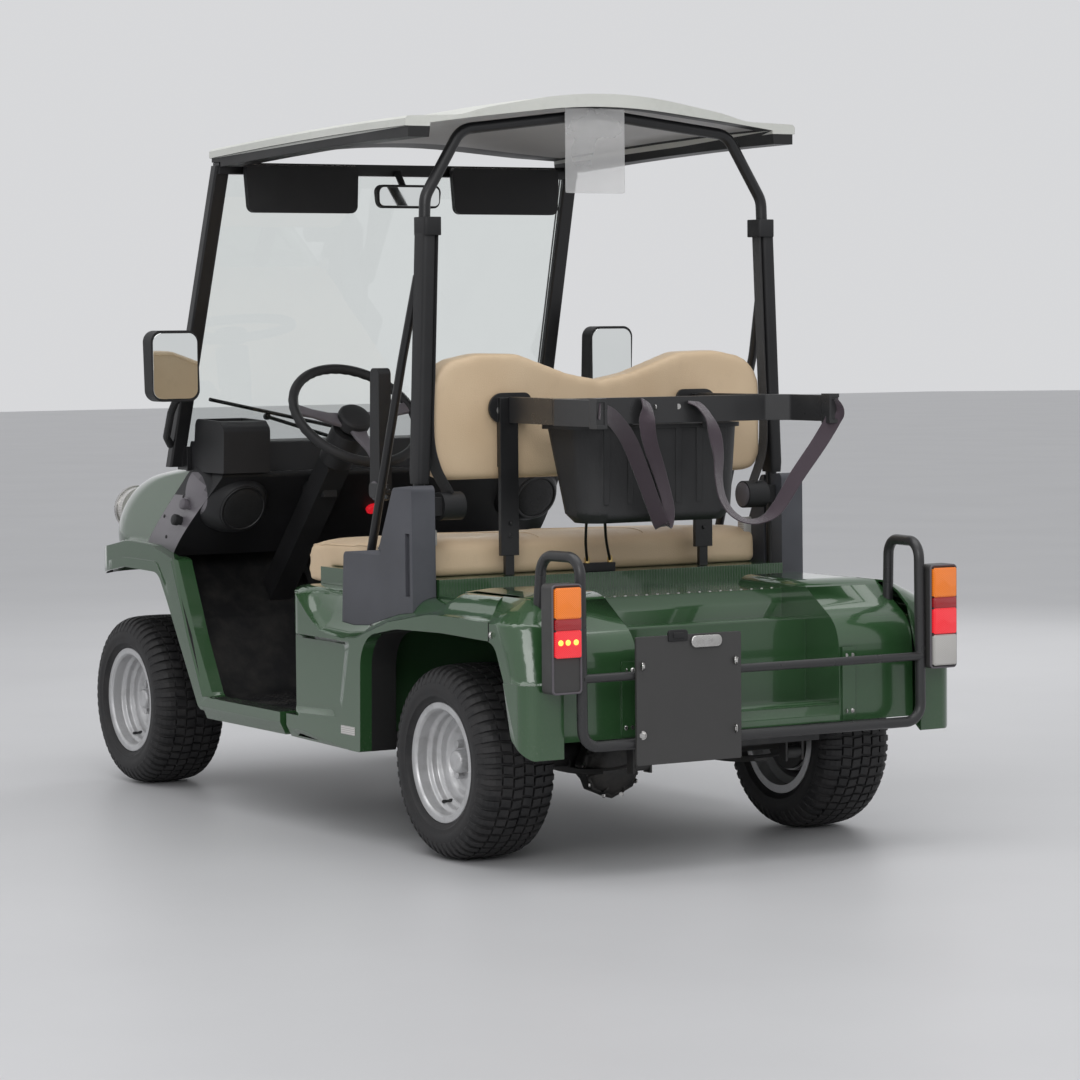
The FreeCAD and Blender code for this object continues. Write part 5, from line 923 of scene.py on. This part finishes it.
# Straps and belts
STRAP_ROUTES = [
    # each station's place and the direction across the band there
    [(-334, 334, 1056, 0.05, -0.04, 1.00), (-290, 272, 1039, -0.22, -0.46, 0.86),
     (-232, 191, 985, -0.42, -0.76, 0.49), (-180, 117, 896, -0.18, -0.94, 0.30),
     (-142, 61, 818, -0.06, -0.98, 0.20), (-124, 26, 773, -0.21, -0.97, 0.14),
     (-116, 4, 809, 0.20, -0.95, 0.10), (-122, 31, 892, 0.16, -0.96, 0.10),
     (-146, 74, 969, -0.08, -0.99, 0.09), (-154, 88, 1021, -0.40, -0.90, -0.01),
     (-148, 82, 1049, 0.30, -0.90, -0.14), (-134, 80, 1072, 0.50, -0.80, -0.09)],
    [(-131, -44, 1068, 0.84, -0.51, 0.19), (-145, -65, 1058, 0.70, -0.66, 0.29),
     (-160, -83, 1029, 0.56, -0.79, 0.26), (-168, -95, 988, 0.11, -0.99, 0.10),
     (-173, -102, 936, 0.32, -0.95, 0.00), (-173, -102, 884, 0.48, -0.87, -0.06),
     (-178, -109, 837, 0.55, -0.83, 0.10), (-191, -128, 800, 0.64, -0.74, 0.20),
     (-210, -156, 781, 0.78, -0.59, 0.22), (-232, -187, 784, 0.84, -0.43, 0.34),
     (-253, -218, 814, 0.83, 0.15, 0.53), (-279, -256, 889, 0.79, 0.41, 0.46),
     (-309, -299, 966, 0.71, 0.53, 0.46), (-328, -328, 1024, 0.52, 0.84, 0.18),
     (-333, -336, 1044, 0.90, 0.30, -0.10), (-326, -330, 1068, 0.94, -0.13, -0.06)],
]


def make_straps():
    """Two bag straps hung as twisted loops between the bar and its prongs."""
    form = Form()
    for stations in STRAP_ROUTES:
        form.band(smooth_path([s[:3] for s in stations]), smooth_path([s[3:] for s in stations]), 38, 2.4)
    form.piece("bag_strap_webbing", "web", stands_for=["straps"], smooth=50.0)


def post_place(side, z, lift=0.0):
    """Point on a hoop post at a height, in millimetres, moved outwards by lift."""
    share = (z - 870) / (1560 - 870)
    return 199 + 2 * share, side * (511 - 26 * share + lift), z


def make_belt_channels():
    """Black channels that sheath the hoop posts, their belt guides and the belts that run down to the reels."""
    sheath, guides, belts, buckles = (Form() for _ in range(4))
    section = rounded(oblong((-30, -17), (25, 16), 9), 4)
    for side in SIDES:
        rings = []
        for z, grow in ((876, 0.9), (900, 1.0), (1000, 1.0), (1200, 1.0), (1400, 1.0), (1494, 1.0), (1500, 0.9)):
            x, y, _ = post_place(side, z)
            rings.append([(x + p.x * grow, y + p.y * grow, z) for p in section])
        sheath.skin(rings)
        guides.plate(oblong((x - 34, y - side * 30), (x + 26, y + side * 17), 8), 1468, 1512, "z")
        route = [(178, side * 440, 850), (188, side * 474, 920)]
        for z in (1000, 1150, 1300, 1400, 1480):
            x, y, _ = post_place(side, z, -20)
            route.append((x - 4, y, z))
        path = smooth_path(route)
        belts.band(path, [(1, side * 0.15, 0)] * len(path), 47, 1.6)
        y0, y1 = sorted((side * 446, side * 470))
        buckles.block((226, y0, 700), (256, y1, 762))
    sheath.piece("belt_channels", "black_plastic", smooth=40.0)
    guides.piece("belt_guides", "black_plastic", 2.0, smooth=40.0)
    belts.piece("seat_belts", "belt", smooth=50.0)
    turned_pair("belt_reel_caps", "panel_grey", (178, 410, 822), (0, -1, 0),
                [(30, -1), (30, 2), (26, 4.5), (10, 5.2)], 28)
    buckles.piece("belt_buckles", "white_lens", 3.0, 3, smooth=40.0)


# Rear end
LENSES = {
    # name: finish, blocks as side, low z, high z
    "amber_lenses": ("amber", [(1, 600.5, 669), (-1, 600.5, 669)]),
    "dark_red_lenses": ("dark_red", [(1, 574, 599), (-1, 574, 599)]),
    "red_lenses": ("red", [(1, 513, 573), (-1, 513, 573)]),
    "reversing_lens": ("white_lens", [(-1, 438, 510)]),
}


def make_tail_lamps():
    """Lenses over the lamps' stacked blocks, three lit spots and the lamps' grey frames."""
    for name, (finish, rows) in LENSES.items():
        form = Form()
        for side, z0, z1 in rows:
            y0, y1 = sorted((side * 491.2, side * 558.6))
            for low, high, inset in ((-504.6, -494.5, 0.0), (-506.6, -504.4, 2.2)):
                form.plate(oblong((y0 + inset, z0 - 0.6 + inset), (y1 - inset, z1 + 0.6 - inset), 5), low, high)
        form.piece(name, finish, 0.9, smooth=40.0)
    spots, frames = Form(), Form()
    for y in (507, 528, 547):
        spots.turned((-506.4, y, 547), (-1, 0, 0), [(6.6, -0.5), (6.4, 1.2), (4.6, 2.6), (1.6, 3.1)], 20)
    spots.piece("lit_spots", "spot")
    for side in SIDES:
        y0, y1 = sorted((side * 485.8, side * 564.0))
        rings = []
        for grow, x in ((0.0, -494.0), (0.0, -497.6), (1.4, -499.0), (3.2, -499.0), (4.6, -497.6), (4.6, -494.0)):
            outline = rounded(oblong((y0 + grow, 430 + grow), (y1 - grow, 677 - grow), 10 - grow))
            rings.append([(x, p.x, p.y) for p in outline])
        frames.skin(rings + rings[:1], caps=False)
    frames.piece("lamp_frames", "panel_grey", smooth=40.0)


def make_tail_fittings():
    """Bolts of the blank plate, the little lamp and clip above it, deck rivets, flange screws and quarter bolts."""
    face = -496.2
    corners = [(face, y, z) for y in (71, 326) for z in (325, 482)]
    fit_out("plate_washers", "washer", "rear", corners)
    fit_out("plate_bolts", "hex_bolt", "rear", [(face - 1.5, y, z) for _, y, z in corners], size=0.92)
    Form().plate(oblong((112, 517), (196, 545), 13), -504, face + 0.6).piece("plate_lamp", "bright", 3.2, 3,
                                                                             smooth=45.0)
    clip = Form().plate([(204, 534, 3), (256, 534, 3), (256, 560, 8), (204, 560, 8)], -500, -492)
    clip.plate(oblong((216, 541), (244, 554), 2), -503, -499).piece("plate_clip", "black_plastic", 1.0, smooth=40.0)
    fit_out("deck_rivets", "rivet", "up", [(-150, y, 612) for y in range(-270, 271, 30)])
    fit_out("flange_screws", "pan_screw", "rear",
            [(-414.2, side * y, z) for side in SIDES for y in (300, 318) for z in (334, 466)])
    fit_out("quarter_bolts", "button", "left", [(-290, 600, 553)], size=0.9)
    fit_out("quarter_bolts_right", "button", "right", [(-290, -600, 553)], size=0.9)


def make_rack_fittings():
    """Pivot bolts with their rings, bar bolts, sleeve bolts and the stays below the basket."""
    pivots = [(172.4, side * 298, 1048) for side in SIDES]
    fit_out("pivot_rings", "washer", "rear", pivots, size=1.5)
    fit_out("pivot_bolts", "button", "rear", [(170.4, y, z) for _, y, z in pivots], size=1.25)
    fit_out("bar_bolts", "button", "rear", [(-130, 51, 1056), (-130, -16, 1056)], size=0.75)
    fit_out("sleeve_bolts", "small_hex", "rear", [(161, side * 281, z) for side in SIDES for z in (745, 775)],
            "black_coat")
    stays, ends = Form(), Form()
    for top, foot in (((54, 130, 781), (143, 74, 674)), ((54, 78, 781), (143, 8, 674))):
        bow = Vector(top).lerp(Vector(foot), 0.5) + Vector((-6, 7, 0))
        stays.tube(smooth_path([top, bow, foot]), 3.6)
        ends.turned((foot[0], foot[1], 671), (0, 0, 1), [(7, 0), (7, 11), (5, 15), (3.7, 17)], 12)
    stays.piece("basket_stays", "black_coat", smooth=50.0)
    ends.piece("stay_ends", "brass")
    Form().block((132, -2, 649.2), (154, 84, 671)).piece("stay_block", "black_plastic", 2.0, smooth=40.0)


def make_axle_case():
    """Cast eight-sided cover behind the differential, with ribs and a ring of bolts."""
    y, z = 150.0, 207.0
    case = [(84, -20), (84, 14), (80, 18), (76, 18), (72, 26), (62, 34), (30, 38)]
    Form().turned((-70, y, z), (-1, 0, 0), case, 8).piece("axle_case_cover", "cast", 2.0)
    ribs = Form()
    for angle in range(0, 360, 45):
        turn = math.radians(angle + 22.5)
        c, s = math.cos(turn), math.sin(turn)
        ribs.skin([[(x, y + c * reach - s * w, z + s * reach + c * w)
                    for x, w in ((lift, -3.5), (lift, 3.5), (-86, 3.5), (-86, -3.5))]
                   for reach, lift in ((24, -106), (64, -103), (76, -90))])
    ribs.piece("axle_case_ribs", "cast", 0.8)
    fit_out("axle_case_bolts", "small_hex", "rear", [(-88, y + 78 * c, z + 78 * s) for c, s in circle(10)], size=1.1)


# Cab
def touch(node, start, direction):
    """Where a line from outside meets a CAD piece: place in millimetres at the rear axle, and the face's direction."""
    source = nodes[node]
    tree = BVHTree.FromObject(source, bpy.context.evaluated_depsgraph_get())
    inverse = source.matrix_world.inverted()
    hit, normal, _, _ = tree.ray_cast(inverse @ at(*start), (inverse.to_3x3() @ Vector(direction)).normalized())
    if hit is None:
        hit, normal, _, _ = tree.find_nearest(inverse @ at(*start))
    return station(source.matrix_world @ hit), (source.matrix_world.to_3x3() @ normal).normalized()


def make_mirror_glass():
    """Silvered glass set in the backs of the three mirrors."""
    glass = Form()
    for side in SIDES:
        y0, y1 = sorted((side * 607, side * 734))
        glass.plate(oblong((y0, 1067), (y1, 1238), 25), 1204.4, 1206.4)
    glass.plate(oblong((-69, 1570), (112, 1620), 14), 1110.4, 1112.4)
    glass.piece("mirror_glass", "mirror", 0.6, 1, smooth=40.0)


def make_visor_rods():
    rods = Form()
    for y0, y1 in ((165, 486), (-456, -133)):
        rods.tube([(1149, y0, 1672), (1149, y1, 1672)], 4.6)
    rods.piece("visor_rods", "bright", smooth=50.0)


def make_dash_fittings():
    """Speaker pods, grilles and rings on the dash's sloping face, its round switches, side pins and red button."""
    speaker = (1262, 452, 772), (-0.92, 0.0, -0.38)
    turned_pair("speaker_grilles", "grille", *speaker, [(57, -1), (57, 1.0), (50, 3.6), (30, 5.4), (8, 6.0)], 48)
    turned_pair("speaker_rings", "black_coat", *speaker,
                [(65, -1), (65, 2.2), (63, 3.6), (59, 3.6), (57, 2.0), (57, -1)], 64, closed=True)
    turned_pair("speaker_pods", "dash", *speaker,
                [(60, 0), (66, -1), (70, -5), (84, -30), (97, -60), (105, -95), (105, -140)], 48, smooth=40.0)
    upper, lower, pins = Form(), Form(), Form()
    for side in SIDES:
        for form, x, z in ((upper, 1392, 778), (lower, 1423, 736)):
            form.turned(*touch("dash_body", (x, side * 800, z), (0, -side, 0)),
                        [(12, -3), (12, 9), (15, 10), (15, 22), (12, 25), (4, 26)], 24)
        for x, z in ((1500, 690), (1440, 800), (1530, 800)):
            pins.turned(*touch("dash_body", (x, side * 800, z), (0, -side, 0)),
                        [(5, -2), (5, 1), (3.4, 2.4), (1, 2.8)], 12)
    upper.piece("upper_switches", "panel_grey")
    lower.piece("lower_switches", "black_plastic")
    pins.piece("dash_side_pins", "black_coat")
    Form().turned(*touch("dash_body", (1310, 24, 725), (0.691, 0.0, 0.7226)),
                  [(17, -3), (17, 8), (14, 11), (4, 12)], 28).piece("dash_button", "red")


STEERING_TILT = math.radians(46.0)
STEERING_CENTRE = Vector((1000, 250, 1020))
STEERING_RADIUS = 172
RIM_STEPS, RIM_RADIUS = 120, 13.0
GRIPS, GRIP_HEIGHT = 40, 0.75
SPOKE_STATIONS = [
    # share of the wheel's radius, half width, half thickness, depth below the rim
    (0.12, 25, 7, 24), (0.4, 19, 6, 20), (0.7, 15, 5, 8), (0.94, 18, 6, 0),
]


def make_steering_wheel():
    """Padded rim with grips behind, three flattened spokes and a round hub cap."""
    axis = Vector((math.cos(STEERING_TILT), 0, -math.sin(STEERING_TILT)))
    up = Vector((math.sin(STEERING_TILT), 0, math.cos(STEERING_TILT)))
    side = Vector((0, 1, 0))
    rings = []
    for k, (c, s) in enumerate(circle(RIM_STEPS)):
        out = side * c + up * s
        ring = []
        for round_c, round_s in circle(14):
            grip = GRIP_HEIGHT * math.sin(math.tau * k / RIM_STEPS * GRIPS) if round_s < -0.2 else 0.0
            reach = (out * round_c - axis * round_s) * (RIM_RADIUS + grip)
            ring.append(STEERING_CENTRE + out * STEERING_RADIUS + reach)
        rings.append(ring)
    Form().skin(rings + rings[:1], caps=False).piece("steering_rim", "black_plastic", body="steering_wheel",
                                                     stands_for=["steering_wheel"], smooth=50.0)
    spokes = Form()
    for angle in (8, 172, 270):
        turn = math.radians(angle)
        out = side * math.cos(turn) + up * math.sin(turn)
        across = out.cross(axis)
        stations = []
        for share, width, thick, sink in SPOKE_STATIONS:
            middle = STEERING_CENTRE + out * (STEERING_RADIUS * share) + axis * sink
            outline = rounded(oblong((-width, -thick), (width, thick), 4.5), 3)
            stations.append([middle + across * p.x + axis * p.y for p in outline])
        spokes.skin(stations)
    spokes.piece("steering_spokes", "panel_grey", body="steering_wheel", smooth=40.0)
    cap = [(36, -38), (44, -30), (46, -12), (45, -4), (40, 2), (30, 5), (10, 6)]
    Form().turned(STEERING_CENTRE + axis * 2, -axis, cap, 40).piece("steering_hub_cap", "black_plastic",
                                                                    body="steering_wheel", smooth=30.0)


def make_armrest_plates():
    for name, side in (("left", 1), ("right", -1)):
        plate = Form()
        for face, out in ((ARMREST_FACES[1], side), (ARMREST_FACES[0], -side)):
            plate.turned((466, side * face, 850), (0, out, 0), [(23, -0.5), (23, 1.8), (20, 3.2), (6, 3.6)], 28)
        plate.piece("armrest_foot_" + name, "panel_grey", body="armrest_" + name)


def dot_field(name, profile, steps, centre, **layout):
    """Piece of black rubber dots over a rectangle about a centre."""
    dot = knob_pattern(profile, steps)
    mesh = DOTS.grow(name, Dot=dot, Centre=tuple(at(*centre)), Finish=FINISHES["mat"].material, **layout)
    bpy.data.objects.remove(dot)
    settle(name, mesh, None, smooth=40.0, slot="black_plastic")


def make_floor_treads():
    """Raised dots over the floor mat and rows of finer ones along the sills."""
    dot_field("mat_dots", [(6.0, -0.4), (5.6, 0.7), (3.6, 1.5), (1.2, 1.8)], 10, (1012, 0, 272),
              Length=0.50, Width=0.94, Columns=20, Rows=37)
    for side, name in ((1, "left"), (-1, "right")):
        dot_field("sill_dots_" + name, [(3.4, -0.4), (3.1, 0.8), (2.0, 1.4)], 8, (1010, side * 574, 283),
                  Length=0.44, Width=0.034, Columns=36, Rows=4)


def make_lamp_bezels():
    turned_pair("lamp_bezels", "bright", (2010, 420, 740), (1, 0, 0),
                [(66, -12), (66, 1), (64, 4), (60, 4), (58, 2), (58, -12)], 56, closed=True)
    turned_pair("lamp_glasses", "white_lens", (2012, 420, 740), (1, 0, 0),
                [(57.5, -2), (57, 0.5), (48, 3.2), (30, 5.2), (10, 6)], 40)


SOFT_MOULDINGS = {
    # node: finish, angle in degrees up to which its faces flow into each other
    "roof": ("roof", 38.0), "front_body": ("green", 34.0), "side_panels": ("green", 34.0),
    "rear_body": ("green", 34.0), "rear_quarters": ("green", 34.0), "basket": ("basket", 34.0),
}
FLAT_ANGLE = 0.2                # degrees


def make_soft_mouldings():
    """The moulded panels with their shading made to flow round their bends."""
    for node, (finish, angle) in SOFT_MOULDINGS.items():
        mesh = welded_copy(node, FLAT_ANGLE)
        mesh.shade_smooth()
        mesh.set_sharp_from_angle(angle=math.radians(angle))
        carrier = new_object("carrier", mesh)
        even = carrier.modifiers.new("even", "WEIGHTED_NORMAL")
        even.keep_sharp = True
        even.weight = 80
        shaded = evaluated_mesh(carrier)
        bpy.data.objects.remove(carrier)
        settle(node + "_moulding", shaded, finish, stands_for=[node], smooth=None)


def make_small_marks():
    """Blank label on the sill."""
    Form().plate(oblong((370, 260), (442, 281), 2), 599.8, 600.7, "y").piece("blank_decal", "white_lens")


make_tyres()
make_wheel_fittings()
make_seat()
make_straps()
make_belt_channels()
make_tail_lamps()
make_tail_fittings()
make_rack_fittings()
make_axle_case()
make_mirror_glass()
make_visor_rods()
make_dash_fittings()
make_steering_wheel()
make_armrest_plates()
make_floor_treads()
make_lamp_bezels()
make_soft_mouldings()
make_small_marks()


# Camera, light and floor
CAMERA_PLACE = (-8.1077, 4.7185, 1.2692)
CAMERA_YAW = -0.54178           # radians from +X towards +Y
CAMERA_PITCH = 0.06127          # radians below the level
CAMERA_ROLL = -0.00846
CAMERA_LENS = 120.6             # millimetres on a 36 mm sensor


def make_camera():
    """The photograph's view, fitted to the wheels and the cage."""
    camera = new_object("camera", bpy.data.cameras.new("camera"))
    camera.matrix_world = (Matrix.Translation(CAMERA_PLACE) @ Matrix.Rotation(CAMERA_YAW - math.pi / 2, 4, "Z")
                           @ Matrix.Rotation(math.pi / 2 - CAMERA_PITCH, 4, "X")
                           @ Matrix.Rotation(CAMERA_ROLL, 4, "Z"))
    camera.data.lens = CAMERA_LENS
    camera.data.sensor_width = 36.0
    camera.data.clip_end = 60.0
    bpy.context.scene.camera = camera


def area_lamp(name, place, target, size, power):
    """Soft rectangular lamp that faces a point."""
    data = bpy.data.lights.new(name, "AREA")
    data.shape = "RECTANGLE"
    data.size, data.size_y = size
    data.energy = power
    lamp = new_object(name, data)
    direction = Vector(target) - Vector(place)
    lamp.matrix_world = Matrix.Translation(place) @ direction.to_track_quat("-Z", "Y").to_matrix().to_4x4()
    return lamp


def make_floor():
    mesh = bmesh.new()
    bmesh.ops.create_grid(mesh, x_segments=2, y_segments=2, size=40.0)
    floor = new_object("studio_floor", bpy.data.meshes.new("studio_floor"))
    mesh.to_mesh(floor.data)
    mesh.free()
    ground = Finish("studio_ground", None, Roughness=0.42)
    ground.set("Base Color", ground.mix(ground.noise(1.2, 5.0), (0.56, 0.56, 0.57), (0.64, 0.64, 0.65)))
    floor.data.materials.append(ground.material)


def make_world():
    """A pale wall for the camera, the glass and the reflections, and a softer light on the cart."""
    world = bpy.data.worlds.new("studio_world")
    bpy.context.scene.world = world
    world.use_nodes = True
    tree = world.node_tree
    tree.nodes.clear()
    seen = 0.0
    for ray in ("Is Camera Ray", "Is Transmission Ray", "Is Glossy Ray"):
        seen = add_node(tree, "ShaderNodeMath", {"operation": "MAXIMUM"},
                        [seen, add_node(tree, "ShaderNodeLightPath", output=ray)])
    light = add_node(tree, "ShaderNodeBackground", None, [(0.80, 0.81, 0.83, 1.0), 0.66])
    wall = add_node(tree, "ShaderNodeBackground", None, [(0.72, 0.725, 0.74, 1.0), 0.95])
    blend = add_node(tree, "ShaderNodeMixShader", None, [seen, light, wall])
    tree.links.new(blend, tree.nodes.new("ShaderNodeOutputWorld").inputs[0])


make_camera()
make_floor()
make_world()
area_lamp("ceiling_lamp", (-1.0, 0.6, 5.2), (0.0, 0.0, 0.5), (6.0, 4.0), 120.0)
area_lamp("window_lamp", (-5.5, 3.6, 3.4), (0.0, 0.0, 0.7), (3.4, 2.4), 95.0)
area_lamp("far_lamp", (3.6, -4.2, 3.2), (0.0, 0.0, 0.8), (3.0, 2.0), 70.0).visible_glossy = False

bpy.context.scene.view_settings.view_transform = "Standard"
